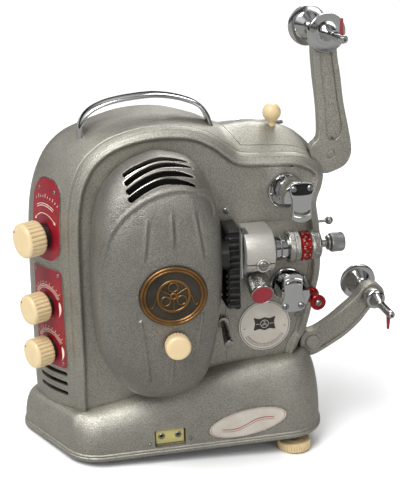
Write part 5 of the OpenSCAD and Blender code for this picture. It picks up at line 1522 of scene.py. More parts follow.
class PROJECTOR_OT_lens(Maker, bpy.types.Operator):
    """Cast lens block with its clamp, and the lens with its collars, knurled rings and coated glass"""
    bl_idname = "projector.lens"
    bl_label = "Lens"

    def make(self):
        body = prism("lens_block_piece", block_outline(), 62, 89, "X")
        bevel(body, 1.1, 3, 40)
        boss = cylinder("boss", 6.2, 14, (CLAMP_AT[0], -68.9, CLAMP_AT[1]), "Y", 64)
        bevel(boss, 0.8, 3, 40)
        cut(body, boss, how="UNION")
        bore = cylinder("bore", 11.55, 40, (75, OPTIC_Y, OPTIC_Z), "X", 96)
        room = block("room", (60, OPTIC_Y - 8, OPTIC_Z - 30), (66.5, OPTIC_Y + 8, OPTIC_Z + 30))
        slit = block("slit", (61, -76, 186.5), (90, -62, 187.7))
        seat = cylinder("seat", 4.75, 3, (CLAMP_AT[0], -76.5, CLAMP_AT[1]), "Y", 48)
        cut(body, bore, room, slit, seat)
        done(body, "stand", "cast", ["lens_block"], angle=35)
        head = screw("clamp_screw_piece", facing(CLAMP_AT[0], -75.0, CLAMP_AT[1]), 4.3, 1.7, 0.05)
        shank = cylinder("shank", 2.5, 6, (CLAMP_AT[0], -72.2, CLAMP_AT[1]), "Y", 32)
        done(joined("clamp_screw_piece", head, shank), "clamp", "steel", ["clamp_screw"])

        profile = [(8.5, 67), (11.0, 67), (11.5, 67.5), (11.5, 90.2), (11.2, 90.6), (10.5, 90.8),
                   (10.5, 91.5), (11.2, 91.7), (11.5, 92.1), (11.5, 95.6), (11.2, 96.0), (10.3, 96.2),
                   (10.3, 97.0), (11.2, 97.2), (11.5, 97.6), (11.5, 102.4), (11.2, 102.8), (10.4, 103.0),
                   (10.4, 103.7), (11.4, 103.9), (11.4, 125), (8.5, 125), (8.5, 67)]
        barrel = lathe("lens_barrel_piece", profile, steps=96)
        barrel.data.transform(lens_place(0))
        done(barrel, "lens", "chrome", ["lens_barrel"], angle=30)
        profile = [(11.4, 125.02), (12.9, 125.02), (13.25, 125.35), (13.25, 126), (13.25, 133.1),
                   (13.1, 133.3), (12.7, 134.2), (12.2, 134.9), (11.3, 135.0), (10.9, 134.6), (10.6, 133.5),
                   (9.2, 130.2), (8.6, 129.2), (8.5, 125.02), (11.4, 125.02)]
        front = knurled("front_ring", profile, 126.2, 132.9, 0.42, lens_place(0), 76, 760, 6)
        done(front, "lens", "satin", angle=30)
        threads = [(8.6, 129.25)]
        for k in range(7):
            threads += [(8.75 + 0.3 * k, 129.55 + 0.6 * k), (8.55 + 0.3 * k, 129.8 + 0.6 * k)]
        inner = lathe("front_threads", threads, steps=64)
        apply(inner, "SOLIDIFY", thickness=0.12)
        inner.data.transform(lens_place(0))
        done(inner, "lens", "dark")
        profile = [(11.55, 104.05), (14.4, 104.05), (14.85, 104.4), (15, 104.9), (15, 109.0),
                   (14.6, 109.25), (14.6, 109.6), (15, 109.85), (15, 113.9), (14.85, 114.3), (14.4, 114.6),
                   (11.55, 114.6), (11.55, 104.05)]
        ring = knurled("focus_ring_piece", profile, 105.0, 113.8, 0.3, lens_place(0), 96, 768, 9)
        done(ring, "focus", "satin", ["focus_ring"], angle=25)
        profile = [(11.55, 115.0), (13.6, 115.0), (13.95, 115.3), (14, 115.7), (14, 116.6), (13.85, 116.75),
                   (14, 116.9), (14, 123.6), (13.85, 123.75), (14, 123.9), (14, 124.3), (13.7, 124.75),
                   (11.55, 124.8), (11.55, 115.0)]
        iris = lathe("iris_ring_piece", profile, steps=128)
        iris.data.transform(lens_place(0))
        wells, heads, ticks = [], [], []
        for k in range(12):
            a = k * math.pi / 6 + 0.1
            place = lens_place(120.2) @ Matrix.Rotation(a, 4,
                    "Z") @ Matrix.Translation((14, 0, 0)) @ Matrix.Rotation(math.pi / 2, 4, "Y")
            well = cylinder("well", 1.3, 1.6, (0, 0, 0), sides=24)
            settle(well)
            well.data.transform(place)
            wells.append(well)
            heads.append(screw("head", place @ Matrix.Translation((0, 0, -0.65)), 1.05, 0.55, k * 0.7))
            for side in (-1, 0, 1):
                t = (lens_place(117.9 if side else 122.8) @ Matrix.Rotation(a + math.radians(15 + 4 * side),
                        4, "Z") @ Matrix.Translation((13.98, 0, 0)))
                tick = block("tick", (0, -0.17, -0.75 if side else -0.5),
                             (0.09, 0.17, 0.75 if side else 0.5))
                tick.data.transform(t)
                ticks.append(tick)
        cut(iris, *wells)
        done(iris, "iris", "anodised", ["iris_ring"], angle=30)
        done(joined("iris_screws", *heads), "iris", "steel")
        done(joined("iris_scale", *ticks), "iris", "white_ink")
        front = lathe("front_glass", [(0, 127.2), (8.5, 126.2), (8.5, 127.8), (7, 128.5), (5, 129.0),
                (2.5, 129.3), (0, 129.4)])
        rear = lathe("rear_glass", [(0, 68.2), (8.5, 68.6), (8.5, 70.6), (5, 71.3), (0, 71.5)])
        glass = joined("lens_glass_piece", front, rear)
        glass.data.transform(lens_place(0))
        done(glass, "lens", "glass", ["lens_glass"], angle=60)
        stop = lathe("lens_stop", [(3.2, 95), (8.5, 95), (8.5, 96), (3.4, 96), (3.2, 95)])
        stop.data.transform(lens_place(0))
        done(stop, "lens", "hollow")


class PROJECTOR_OT_gate(Maker, bpy.types.Operator):
    """Finned gate housing with its film plates, and the knurled knob that opens them"""
    bl_idname = "projector.gate"
    bl_label = "Gate"

    def make(self):
        low, high = OPTIC_Z - 54, OPTIC_Z + 24
        body = block("gate_housing_piece", (47, OPTIC_Y - 8, low), (58, PANEL_Y - 0.01, high))
        bevel(body, 0.8, 2)
        wedge = block("wedge", (40, -72, low - 14), (53.5, -30, low + 3))
        wedge.data.transform(Matrix.Translation((52, 0, low)) @ Matrix.Rotation(math.radians(30), 4,
                "Y") @ Matrix.Translation((-52, 0, -low)))
        cut(body, wedge, cylinder("light way", 7, 30, (52, OPTIC_Y, OPTIC_Z), "X", 48))
        fins = []
        for i in range(13):
            z = low + 2 + 6 * i
            lean = 0.8 * math.sin(i * 2.3)
            fin = prism("fin", [(OPTIC_Y - 7.5, z - 0.8), (OPTIC_Y - 7.5, z + 4.6),
                                (OPTIC_Y - 10.6, z + 2.6), (OPTIC_Y - 11, z + 1.5 + lean)], 47.3,
                                57.7 - 0.6 * (i % 2), "X")
            bevel(fin, 0.35, 2, 20)
            fins.append(fin)
            side = prism("side fin", [(44.9 - 0.4 * (i % 2), z + 1.4 + lean), (47.2, z - 0.6),
                    (47.2, z + 4.4), (45.3, z + 2.8)], -62.5, -38, "Y")
            bevel(side, 0.35, 2, 20)
            fins.append(side)
        done(joined("gate_housing_piece", body, *fins), "stand", "crinkle", ["gate_housing"], angle=30)
        plate = copied("aperture_plate")
        bevel(plate, 0.2)
        done(plate, "stand", "steel", ["aperture_plate"])
        plate = copied("pressure_plate")
        bevel(plate, 0.35)
        done(plate, "gate_plate", "chrome", ["pressure_plate"])
        shape = [(62.8, 177), (65.2, 170.5), (67.6, 164.5), (68.9, 159), (71, 155.6), (74.5, 153.6),
                 (79.5, 153.6), (83, 155.6), (85.1, 159), (86.2, 165), (87.4, 171), (88.6, 177)]
        foot = prism("gate_bracket_piece", shape, -47, PANEL_Y - 0.01, "Y")
        place = facing(77, PANEL_Y - 12, OPTIC_Z - 30, math.radians(20))
        front = cylinder("front", 60, 30, (0, 0, 16), sides=16)
        settle(front)
        front.data.transform(place)
        hole = cylinder("hole", 3.55, 70, (0, 0, 0), sides=48)
        settle(hole)
        hole.data.transform(place)
        cut(foot, front, hole)
        bevel(foot, 1.4, 3, 40)
        done(foot, "stand", "cast", ["gate_bracket"], angle=35)
        profile = [(0, 3.1), (9.2, 3.1), (9.8, 3.4), (10.2, 4.2), (10.45, 6), (10.9, 24.6), (11, 25.0),
                   (11, 26.0), (10.75, 26.6), (10.3, 26.95), (9.9, 27.0), (9.75, 26.75), (0, 26.7)]
        knob_piece = knurled("gate_knob_piece", profile, 5.0, 24.4, 0.34, place, 62, 620, 15)
        stem = lathe("stem", [(0, -10), (3.5, -10), (3.5, 2.6), (5.2, 2.7), (5.2, 3.2), (0, 3.2)], steps=48)
        stem.data.transform(place)
        done(joined("gate_knob_piece", knob_piece, stem), "gate_turn", "satin", ["gate_knob"],
             angle=25)
        face = lathe("gate_knob_face", [(0, 26.5), (9.7, 26.5), (9.65, 26.82), (9.4, 26.92), (0, 26.98)],
                     steps=64)
        face.data.transform(place)
        done(face, "gate_turn", "red")


SHOE = [(0, 15), (3.2, 14.9), (6, 14.5), (8.6, 13.9), (10.3, 13.0), (10.9, 11.6), (10.95, 8), (10.8, 5),
        (10.3, 3.0), (9.3, 0.9), (8.85, -1.5), (8.7, -5), (8.8, -9), (9.0, -13), (9.1, -18.6), (8.7, -19.8),
        (6, -21.3), (3, -22.4), (0, -22.8)]


class PROJECTOR_OT_film_path(Maker, bpy.types.Operator):
    """Sprockets with flanges, hoods and film shoes, the guide roller, and the small plates and screws"""
    bl_idname = "projector.film_path"
    bl_label = "Film path"

    def make(self):
        parts = []
        for (x, z), (hx, hz) in (((108.8, 243.0), SPROCKETS[0]), (SPROCKETS[1], SPROCKETS[1])):
            parts.append(lathe("flange",
                               [(0, 0.02), (16.1, 0.02), (16.5, 0.4), (16.5, 2.0), (16.1, 2.6), (15.4, 2.9),
                                (14.6, 2.7), (14.1, 2.2), (13.6, 2.05), (0, 2.05)], (x, PANEL_Y, z), "-Y",
                                96))
            parts.append(lathe("hub", [(3.05, 1.9), (3.05, 8), (6.5, 8), (7, 7.5), (7, 1.9)],
                               (hx, PANEL_Y, hz), "-Y", 64))
        for part in parts:
            cleaned(part)
        done(joined("sprocket_flanges_piece", *parts), "stand", "chrome", ["sprocket_flanges"], angle=30)
        heads = [screw("head", facing(x, PANEL_Y - 2.0, z), 2.1, 1.4, t) for x, z,
                 t in ((95.6, 240.5, 0.9), (104.0, 256.5, 0.2), (98.3, 143.0, 0.5), (124.2, 154.5, 1.2))]
        done(joined("flange_screws", *heads), "stand", "steel")
        for (x, z), which, way in ((SPROCKETS[0], "upper", 1), (SPROCKETS[1], "lower", -1)):
            self.sprocket(x, z, which)
            self.guide(x, z, which, way)
        self.roller()
        self.plates()

    @staticmethod
    def sprocket(x, z, which):
        y0, y1 = -OPTIC_Y + 7, -OPTIC_Y - 7
        drum = lathe("drum", [(0, y0), (8.6, y0), (9, y0 - 0.4), (9, y0 - 2.1), (8.6, y0 - 2.5),
                              (7.5, y0 - 2.7), (7.5, y1 + 4.2), (8.6, y1 + 4), (9, y1 + 3.6), (9, y1 + 0.4),
                              (8.6, y1), (0, y1)], (x, 0, z), "-Y", 72)
        parts = [drum, lathe("shaft", [(0, 19), (3, 19), (3, 65.2), (2.6, 65.8), (0, 65.8)], (x, 0, z),
                             "-Y", 32)]
        for k in range(12):
            tooth = cylinder("tooth", 0.85, 1.9, (0, 0, 0), sides=8, r2=0.35)
            settle(tooth)
            tooth.data.transform(Matrix.Translation((x, -50.5, z)) @ Matrix.Rotation(k * math.pi / 6, 4,
                    "Y") @ Matrix.Translation((0, 0, 9.2)))
            parts.append(tooth)
        done(joined(which + "_sprocket_piece", *parts), "sprocket_" + which, "chrome",
             [which + "_sprocket"], angle=30)

    @staticmethod
    def guide(x, z, which, way):
        """Faceted hood, open towards the film, and the shoe on its front."""
        corners = [polar(13.9, a) for a in (-19.5, 6, 40, 76, 104, 140, 174, 199.5)]
        inner = [polar(12.3, a) for a in (200, 170, 140, 110, 80, 50, 20, -20)]
        shell = prism("shell", [(x + way * a, z + way * b) for a, b in corners + inner], -65.9,
                      PANEL_Y - 3.5, "Y")
        bevel(shell, 0.55, 3, 20)
        front = prism("front", [(x + way * a * 0.97, z + way * b * 0.97) for a, b in corners], -66.2, -64,
                      "Y")
        cut(front, cylinder("hub hole", 3.05, 8, (x, -65, z), "Y", 32))
        bevel(front, 0.3, 2, 30)
        recess = 0.9
        cx = x + way * 2.9
        half = SHOE + [(-a, b) for a, b in SHOE[-2:0:-1]]
        shoe = prism("shoe", [(cx + way * a, z + way * b) for a, b in half], -68.0, -66.0, "Y")
        slot_shape = [(-7.5, -11.0), (-3.8, -12.7), (0, -13.3), (3.8, -12.7), (7.5, -11.0), (7.3, -13.6),
                      (3.6, -15.3), (0, -15.9), (-3.6, -15.3), (-7.3, -13.6)]
        slit = prism("slit", [(cx + way * a, z + way * b) for a, b in spline(slot_shape, 3)], -70, -64, "Y")
        bevel(shoe, 0.5, 3, 40)
        if way > 0:
            hollow = [(-9.6, 12.0), (-5, 13.3), (0, 13.7), (5, 13.3), (9.6, 12.0), (9.9, 6.5), (8.6, 3.6),
                      (4, 2.7), (-4, 2.7), (-8.6, 3.6), (-9.9, 6.5)]
            pit = prism("pit", [(cx + a, z + b) for a, b in spline(hollow, 2)], -72, -68.0 + recess, "Y")
            cut(shoe, slit, pit)
            # A near-black sheet on the floor of the recess: painted shade.
            floor = prism("floor", [(cx + a * 0.985, z + 0.1 + b * 0.985) for a, b in spline(hollow, 2)],
                          -67.16, -67.0, "Y")
            done(floor, "guide_" + which, "hollow")
        else:
            cut(shoe, slit)
        lip = []
        for k in range(21):
            u = -1 + k / 10
            lip.append((cx + way * 7.9 * u, -67.6, z + way * (-17.9 + 1.9 * u * u)))
        roll = wire("lip", lip, 1.05)
        under = wire("lip", [(a, b + 0.9, c + way * 5.2) for a, b, c in lip], 0.5)
        done(joined(which + "_film_guide_piece", shell, front, shoe, roll, under), "guide_" + which,
             "chrome", [which + "_film_guide"], angle=30)
        base = -68.0 + (recess if way > 0 else 0.1)
        heads = [screw("head", facing(cx + way * s * 7.5, base, z + way * 9.0), 3.0, 2.3, 0.5 + s)
                 for s in (-1, 1)]
        done(joined(which + "_guide_screws", *heads), "guide_" + which, "steel")

    @staticmethod
    def roller():
        x, z = 133.0, 139.5
        profile = [(2.55, 5), (6.9, 5), (7.5, 5.6), (7.5, 7.4), (7.0, 8.0), (5.6, 8.6), (5.0, 9.6),
                   (5.0, 24.6), (5.6, 25.5), (7.0, 26), (7.5, 26.6), (7.5, 28.4), (6.9, 29), (4.6, 29),
                   (4.3, 28.6), (2.55, 28.6), (2.55, 5)]
        done(lathe("film_roller_piece", profile, (x, PANEL_Y, z), "-Y", 72), "roller", "anodised",
             ["film_roller"], angle=30)
        pin = lathe("pin", [(0, 0.02), (2.5, 0.02), (2.5, 29), (0, 29)], (x, PANEL_Y, z), "-Y", 48)
        head = screw("head", facing(x, PANEL_Y - 29.1, z), 3.2, 2.2, 0.9)
        arm = lathe("arm", [(0, 0), (2.1, 0), (2.1, 19.2), (1.7, 20), (0, 20)], steps=40)
        tilt = Matrix.Rotation(math.radians(-20), 4, "Y")
        arm.data.transform(Matrix.Translation((x, PANEL_Y - 2.6, z)) @ tilt)
        done(joined("roller_pin_piece", pin, head, arm), "stand", "steel", ["roller_pin"], angle=30)

    @staticmethod
    def plates():
        """Round label, oval plate on the base, sound socket and two screws; none of them carries words."""
        x, z = LABEL_AT
        disc = lathe("label_plate_piece",
                     [(0, 0.02), (25.2, 0.02), (25.5, 0.3), (25.5, 0.9), (25.2, 1.15), (24.7, 1.2),
                      (0, 1.2)], (x, PANEL_Y, z), "-Y", 128)
        done(disc, "stand", "label", ["label_plate"], angle=30)
        place = facing(x, PANEL_Y - 1.2, z)
        bands = [arc((0, 0), 24.0, 0.5, 0, 360, 120), arc((0, 0), 18.6, 0.35, 208, 332, 60),
                 arc((0, 0), 21.4, 0.35, 208, 332, 60)]
        for k in range(31):
            a = math.radians(210 + 4 * k)
            r = 20.6 if k % 5 else 21.2
            bands.append(bar((18.9 * math.cos(a), 18.9 * math.sin(a)), (r * math.cos(a), r * math.sin(a)),
                             0.35, 2))
        for s in (-1, 1):
            bands.append(bar((s * 19.0, -1.6), (s * 20.8, -1.6), 0.7, 2))
        emblem = printed("label_print", bands, place, lift=0.0, thick=0.05)
        shield = [(-10.6, 8.8), (-5, 7.4), (0, 8.6), (5, 7.4), (10.6, 8.8), (9.6, 4.5), (9.9, 0),
                  (10.6, -4.2), (5, -3.2), (0, -4.8), (-5, -3.2), (-10.6, -4.2), (-9.9, 0),
                  (-9.6, 4.5)][::-1]
        panel = prism("panel", spline(shield, 3), 0, 0.06)
        panel.data.transform(place)
        reel = [arc((0, 1.9), 3.9, 0.5, 0, 360, 48), arc((0, 1.9), 0.8, 0.5, 0, 360, 24)]
        for k in range(3):
            a = math.radians(90 + 120 * k)
            reel.append(arc((2.2 * math.cos(a), 1.9 + 2.2 * math.sin(a)), 0.75, 0.35, 0, 360, 24))
        for s in (-1, 1):
            reel.append(bar((s * 4.9, 1.9), (s * 8.7, 2.1), 0.5, 4))
        mark = printed("label_mark", reel, place, lift=0.07, thick=0.05)
        done(joined("label_print", emblem, panel), "stand", "ink")
        done(mark, "stand", "label")
        heads = [screw("head", facing(px, PANEL_Y - 0.02, pz), 3.0, 1.6, t) for px, pz,
                 t in ((52.8, 228.3, 1.35), (121.5, 117, 0.5))]
        done(joined("small_screws_piece", *heads), "stand", "steel", ["small_screws"])
        self_base = bpy.data.objects["base_casting_piece"]
        form = self_base.copy()
        form.data = self_base.data.copy()
        bpy.context.collection.objects.link(form)
        form.parent = None
        form.matrix_world = Matrix.Identity(4)
        form.data.transform(TO_FRAME.inverted())
        place = Matrix.Translation((64, -66, 22.5)) @ Matrix.Rotation(math.pi / 2, 4,
                "X") @ Matrix.Rotation(math.radians(7.5), 4, "Z")
        ellipse = [(40 * math.cos(math.radians(a)), 14.2 * math.sin(math.radians(a)))
                   for a in range(0, 360, 4)]
        small = [(p * 0.955, q * 0.89) for p, q in ellipse]
        border = pressed_plate("base_oval_border", ellipse, place, form, 0.7)
        done(border, "stand", "satin")
        oval = pressed_plate("base_oval_plate_piece", small, place, form, 0.95)
        line = []
        for k, a in enumerate(range(0, 360, 4)):
            b = a + 4
            p = [(37.1 * f * math.cos(math.radians(c)), 11.9 * f * math.sin(math.radians(c)), 0)
                 for c in (a, b) for f in (1.0, 0.985)]
            line.append((p, [(0, 1, 3, 2)]))
        stripes = []
        for k, w in ((0, 0.8), (1, 0.4)):
            for j in range(36):
                u, v = -26 + 52 * j / 36, -26 + 52 * (j + 1) / 36
                wave = lambda t: -1.2 + 2.6 * math.sin(t * 0.12) - 1.9 * k
                stripes.append(([(u, wave(u), 0), (u, wave(u) + w, 0), (v, wave(v), 0),
                                 (v, wave(v) + w, 0)], [(0, 2, 3, 1)]))
        ink = printed("base_oval_print", line + stripes, place @ Matrix.Translation((0, 0, 25)), oval, 0.03,
                      0.05)
        done(ink, "stand", "red_ink")
        done(oval, "stand", "label", ["base_oval_plate"])
        bpy.data.objects.remove(form, do_unlink=True)
        socket = block("tone_socket_piece", (-26, -57, 8.5), (2, -47, 23.5))
        bevel(socket, 1.0, 3)
        cut(socket, *[cylinder("hole", 2.0, 30, (SOCKET_AT[0] + 8 * s, -52, SOCKET_AT[1]), "Y", 48)
                      for s in (-1, 1)])
        done(socket, "stand", "aged", ["tone_socket"])
        bushes = [lathe("bush", [(2.0, 0), (2.0, 0.7), (2.9, 0.7), (3.2, 0.4), (3.2, 0), (2.0, 0)],
                        (SOCKET_AT[0] + 8 * s, -57, SOCKET_AT[1]), "-Y", 40) for s in (-1, 1)]
        done(joined("socket_bushes", *bushes), "stand", "steel")
        rivets = [screw("rivet", facing(px, -HALF_D - 0.6, pz), 1.5, 0.9, 0.3) for px,
                  pz in ((-32, 12), (7.5, 13.5))]
        done(joined("socket_screws", *rivets), "stand", "steel")


TRACK = [(151.5, 290), (150.3, 300), (149, 318), (147.2, 332), (145.5, 346), (144.4, 358), (143.6, 370),
         (146, 373.6), (150.5, 374.4), (154.6, 372), (155.6, 366), (159, 345), (160.8, 332), (162.5, 320),
         (165, 308), (166.6, 297), (165, 289), (160, 284.6), (154.6, 285.6)][::-1]


class PROJECTOR_OT_arms(Maker, bpy.types.Operator):
    """Two reel arms with their sunk tracks, pivots, spindles and red latches"""
    bl_idname = "projector.arms"
    bl_label = "Reel arms"

    def make(self):
        for which, shape, root, top in (("upper", UPPER_ARM, (156.0, 272.0), UPPER_SPINDLE),
                ("lower", LOWER_ARM, (139.5, 82.5), LOWER_SPINDLE)):
            points = rounded(shape)
            arm = prism(which + "_arm_piece", points, ARM_FRONT, ARM_BACK, "Y")
            bevel(arm, 0.9, 3, 40)
            path = spline(TRACK, 4) if which == "upper" else inset(points, 3.6)
            track = prism("track", path, ARM_FRONT - 1, ARM_FRONT + 1.4, "Y")
            if which == "lower":
                bosses = [cylinder("boss", r, 8, (at[0], ARM_FRONT, at[1]), "Y", 64) for at,
                          r in ((root, 10.5), (top, 9.3))]
                cut(track, *bosses)
            bores = [cylinder("bore", r, 40, (at[0], -18, at[1]), "Y", 64) for at,
                     r in ((root, 4.05), (top, 5.55))]
            cut(arm, track, *bores)
            bevel(arm, 0.18, 1, 60)
            done(arm, "arm_" + which, "body", [which + "_arm"], angle=32)
            line = [(a, ARM_FRONT + 0.12, b) for a, b in path]
            if which == "upper":
                ridge = wire("upper_arm_ridge", line, 0.42, closed=True)
                # A dark block across the ridge: painted shade where the ridge is broken.
                nick = block("nick", (-0.5, ARM_FRONT - 0.3, -1.5), (0.5, ARM_FRONT + 0.3, 1.5))
                nick.data.transform(Matrix.Translation((157.5, 0, 287)))
                done(ridge, "arm_upper", "body")
                done(nick, "arm_upper", "dark")
            at = (top[0], 0, top[1])
            washer = lathe(which + "_arm_washer",
                           [(5.6, 23.6), (8.6, 23.6), (8.9, 24.0), (8.9, 24.3), (5.6, 24.3), (5.6, 23.6)],
                           at, "-Y")
            done(washer, "arm_" + which, "satin")
            self.spindle(which, top)
            blade = copied(which + "_latch")
            bevel(blade, 0.35, 3, 30)
            done(blade, "latch_up" if which == "upper" else "latch_low", "red", [which + "_latch"])
        pins = copied("arm_pins")
        bevel(pins, 0.4)
        done(pins, "stand", "body", ["arm_pins"])
        heads = [lathe("head", [(0, 24.05), (r - 0.4, 24.05), (r, 24.4), (r, 25.0), (r - 0.5, 25.5),
                                (r - 1.8, 25.8), (0, 26.0)], (x, 0, z), "-Y") for x, z,
                                r in ((139.5, 82.5, 7.2),)]
        done(joined("arm_pivot_heads", *heads), "stand", "body")

    @staticmethod
    def spindle(which, top):
        at = (top[0], 0, top[1])
        pin = [(3.95, 50.9), (3.7, 51.2), (3.7, 75.6), (3.5, 76.4), (2.9, 77.5), (2.5, 78.0), (1.5, 78.0),
               (1.5, 75.2), (0, 75.0)]
        if which == "upper":
            profile = [(0, -32.5), (17.9, -32.5), (18.7, -32.1), (19, -31.4), (19, -30.1), (18.6, -29.4),
                       (17.8, -29.0), (13.3, -29.0), (12.4, -28.2), (10.4, -25.0), (8.6, -22.2),
                       (7.4, -20.3), (5.5, -19.8), (5.5, 24.6), (16.9, 24.6), (17.4, 25.0), (17.5, 25.5),
                       (17.5, 28.6), (17.3, 29.2), (16.8, 29.5), (12.5, 29.2), (8.4, 29.1), (7.2, 29.6),
                       (6.2, 31.4), (4.8, 35.5), (3.95, 39.4)]
        else:
            profile = [(0, -19.5), (17.4, -19.5), (18.2, -19.1), (18.5, -18.4), (18.5, -17.1),
                       (18.1, -16.4), (17.3, -16.0), (12.9, -16.0), (11.8, -14.8), (9.6, -11.2),
                       (8.0, -8.4), (7.0, -7.0), (5.5, -6.4), (5.5, 24.6), (9.4, 24.6), (9.9, 25.0),
                       (10, 25.5), (10, 33.2), (9.8, 34.4), (9.0, 35.6), (8.2, 36.0), (7.0, 36.3),
                       (5.9, 39.2), (4.7, 43.4), (3.95, 45.9)]
        turned = lathe(which + "_spindle_piece", profile + pin, at, "-Y", 96)
        slot = block("slot", (top[0] - 1.3, -73.5, top[1] - 8), (top[0] + 1.3, -51.4, top[1] + 8))
        pivot = cylinder("pivot", 1.05, 12, (top[0], LATCH_Y, top[1]), "X", 24)
        cut(turned, slot, pivot)
        done(turned, "spindle_" + which, "chrome", [which + "_spindle"], angle=30)


class PROJECTOR_OT_motor(Maker, bpy.types.Operator):
    """Motor and blower inside the body, seen through the vents"""
    bl_idname = "projector.motor"
    bl_label = "Motor"

    def make(self):
        motor = copied("motor")
        bevel(motor, 1.2, 3, 40)
        done(motor, "stand", "dark", ["motor"])
        bands = [lathe("band", [(26.02, x), (26.5, x + 0.3), (26.5, x + 1.7), (26.02, x + 2)], (0, 16, 110),
                       "X", 96) for x in (-14, 42)]
        for band in bands:
            apply(band, "SOLIDIFY", thickness=0.3)
        done(joined("motor_bands", *bands), "stand", "steel")
        fan = copied("fan")
        bevel(fan, 0.25, 2, 40)
        done(fan, "blower", "dark", ["fan"])


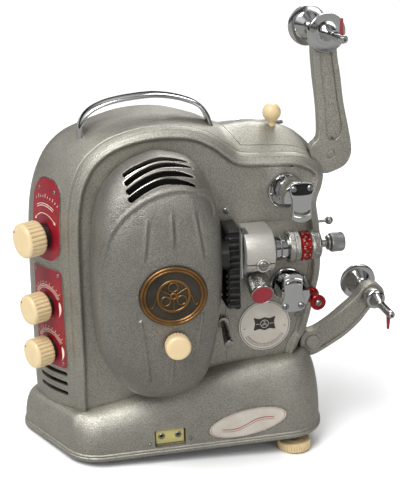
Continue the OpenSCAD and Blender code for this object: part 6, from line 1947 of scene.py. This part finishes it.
class PROJECTOR_OT_stage(Maker, bpy.types.Operator):
    """Pale floor, white surround, soft studio light and the camera"""
    bl_idname = "projector.stage"
    bl_label = "Stage"

    def make(self):
        nothing_selected()
        bpy.ops.mesh.primitive_plane_add(size=40, location=(0, 0, 0))
        floor = named("floor")
        mat, t, b = new_material("pale paper floor", Roughness=0.9, Specular_IOR_Level=0.1)
        grain = noise(t, spot_of(t), 30.0)
        paper = blend_colour(t, "MIX", grain, (0.955, 0.955, 0.955, 1), (0.965, 0.965, 0.965, 1))
        # Seen in reflections the floor is painted dark grey: a painted reflection that gives the chrome its
        # dark bands.
        mirrored = node(t, "ShaderNodeLightPath").outputs["Is Glossy Ray"]
        t.links.new(blend_colour(t, "MIX", mirrored, paper, (0.30, 0.30, 0.29, 1)), b.inputs["Base Color"])
        away = node(t, "ShaderNodeVectorMath", {0: spot_of(t)}, operation="LENGTH").outputs["Value"]
        glow = ramp(t, maths(t, "MULTIPLY", away, 0.1), [(0.07, 0.0), (0.25, 0.12), (0.6, 0.2)])
        b.inputs["Emission Color"].default_value = (1, 1, 1, 1)
        t.links.new(glow, b.inputs["Emission Strength"])
        floor.data.materials.append(mat)
        self.surround()
        self.lamp("key", (-0.85, -0.95, 1.35), 0.8, 13.0)
        self.lamp("fill", (0.75, -1.3, 0.7), 0.5, 2.0)
        self.lamp("back", (0.4, 1.0, 1.3), 0.7, 9.0)
        nothing_selected()
        bpy.ops.object.light_add(type="SUN", location=(0, 0, 2))
        sun = bpy.context.object
        sun.name = "soft_sun"
        sun.data.energy, sun.data.angle = 1.7, math.radians(30)
        sun.rotation_euler = Vector((-0.45, -0.30, 1.0)).to_track_quat("Z", "Y").to_euler()
        self.camera()

    @staticmethod
    def lamp(name, place, size, power):
        nothing_selected()
        bpy.ops.object.light_add(type="AREA", location=place)
        lamp = bpy.context.object
        lamp.name = name + "_softbox"
        lamp.data.shape, lamp.data.size, lamp.data.energy = "SQUARE", size, power
        lamp.rotation_euler = (Vector(place) - Vector((0.0, 0.0, 0.17))).to_track_quat("Z", "Y").to_euler()

    @staticmethod
    def surround():
        """White behind the machine for the camera; a studio with a dark horizon for everything else."""
        world = bpy.data.worlds.new("studio")
        bpy.context.scene.world = world
        world.use_nodes = True
        t = world.node_tree
        t.nodes.clear()
        where = node(t, "ShaderNodeTexCoord").outputs["Generated"]
        split = node(t, "ShaderNodeSeparateXYZ", {0: where})
        height = maths(t, "ADD", maths(t, "MULTIPLY", split.outputs["Z"], 0.5), 0.5)
        across = maths(t, "ADD", maths(t, "MULTIPLY", split.outputs["X"], 0.5), 0.5)
        studio = ramp(t, height, [(0.0, 0.35), (0.47, 0.30), (0.5, 0.03), (0.57, 0.06), (0.64, 0.40),
                                  (0.74, 1.0), (0.86, 0.9), (1.0, 0.4)])
        side = ramp(t, across, [(0.0, 0.9), (0.22, 1.0), (0.34, 0.12), (0.46, 0.9), (0.58, 0.25),
                                (0.76, 0.6), (0.88, 0.1), (1.0, 0.4)])
        mirrored = blend_colour(t, "MULTIPLY", 1.0, studio, side)
        rays = node(t, "ShaderNodeLightPath")
        plain = ramp(t, across, [(0.0, 0.62), (0.5, 0.5), (1.0, 0.36)])
        colour = blend_colour(t, "MIX", rays.outputs["Is Glossy Ray"], plain, mirrored)
        shown = blend_colour(t, "MIX", rays.outputs["Is Camera Ray"], colour, (0.985, 0.985, 0.985, 1))
        back = node(t, "ShaderNodeBackground", {"Color": shown, "Strength": 1.0})
        out = node(t, "ShaderNodeOutputWorld")
        t.links.new(back.outputs[0], out.inputs["Surface"])

    @staticmethod
    def camera():
        """The photograph's viewpoint, worked out on the level machine."""
        a, e, r = math.radians(-10.8), math.radians(19.0), math.radians(1.7)
        back = Vector((math.sin(a) * math.cos(e), -math.cos(a) * math.cos(e), math.sin(e)))
        right = Vector((math.cos(a), math.sin(a), 0))
        down = (-back).cross(right)
        across = right * math.cos(r) + down * math.sin(r)
        below = down * math.cos(r) - right * math.sin(r)
        turn = Matrix((across, -below, back)).transposed()
        data = bpy.data.cameras.new("camera")
        data.lens, data.sensor_fit, data.sensor_height = 74.88, "VERTICAL", 36.0
        data.clip_start, data.clip_end = 0.05, 100.0
        camera = bpy.data.objects.new("camera", data)
        bpy.context.collection.objects.link(camera)
        camera.matrix_world = (Matrix.Translation(TO_FRAME @ Vector((-143.9, -929.6,
                506.7))) @ (Matrix.Rotation(-TILT, 3, "Y") @ turn).to_4x4())
        bpy.context.scene.camera = camera
        bpy.context.scene.view_settings.view_transform = "Standard"


class PROJECTOR_PT_panel(bpy.types.Panel):
    """Sizes and colours of the projector's dressing, and a button for each group of pieces"""
    bl_idname = "PROJECTOR_PT_panel"
    bl_label = "Projector"
    bl_space_type = "VIEW_3D"
    bl_region_type = "UI"
    bl_category = "Projector"

    def draw(self, context):
        for owner in (context.scene.projector_sizes, context.scene.projector_colours):
            box = self.layout.box()
            for key in owner.bl_rna.properties.keys():
                if key not in ("rna_type", "name"):
                    box.prop(owner, key)
        for step in STAGES:
            self.layout.operator(step.bl_idname)


STAGES = (PROJECTOR_OT_base, PROJECTOR_OT_body, PROJECTOR_OT_controls, PROJECTOR_OT_lamphouse,
          PROJECTOR_OT_lens, PROJECTOR_OT_gate, PROJECTOR_OT_film_path, PROJECTOR_OT_arms,
          PROJECTOR_OT_motor, PROJECTOR_OT_stage)
CLASSES = (ProjectorSizes, ProjectorColours, *STAGES, PROJECTOR_PT_panel)


def register():
    for cls in CLASSES:
        bpy.utils.register_class(cls)
    bpy.types.Scene.projector_sizes = bpy.props.PointerProperty(type=ProjectorSizes)
    bpy.types.Scene.projector_colours = bpy.props.PointerProperty(type=ProjectorColours)


def unregister():
    del bpy.types.Scene.projector_colours
    del bpy.types.Scene.projector_sizes
    for cls in reversed(CLASSES):
        bpy.utils.unregister_class(cls)


def main():
    register()
    for step in STAGES:
        group_name, call = step.bl_idname.split(".")
        result = getattr(getattr(bpy.ops, group_name), call)()
        if result != {"FINISHED"}:
            raise RuntimeError(step.bl_idname + " did not finish")


if __name__ == "__main__":
    main()
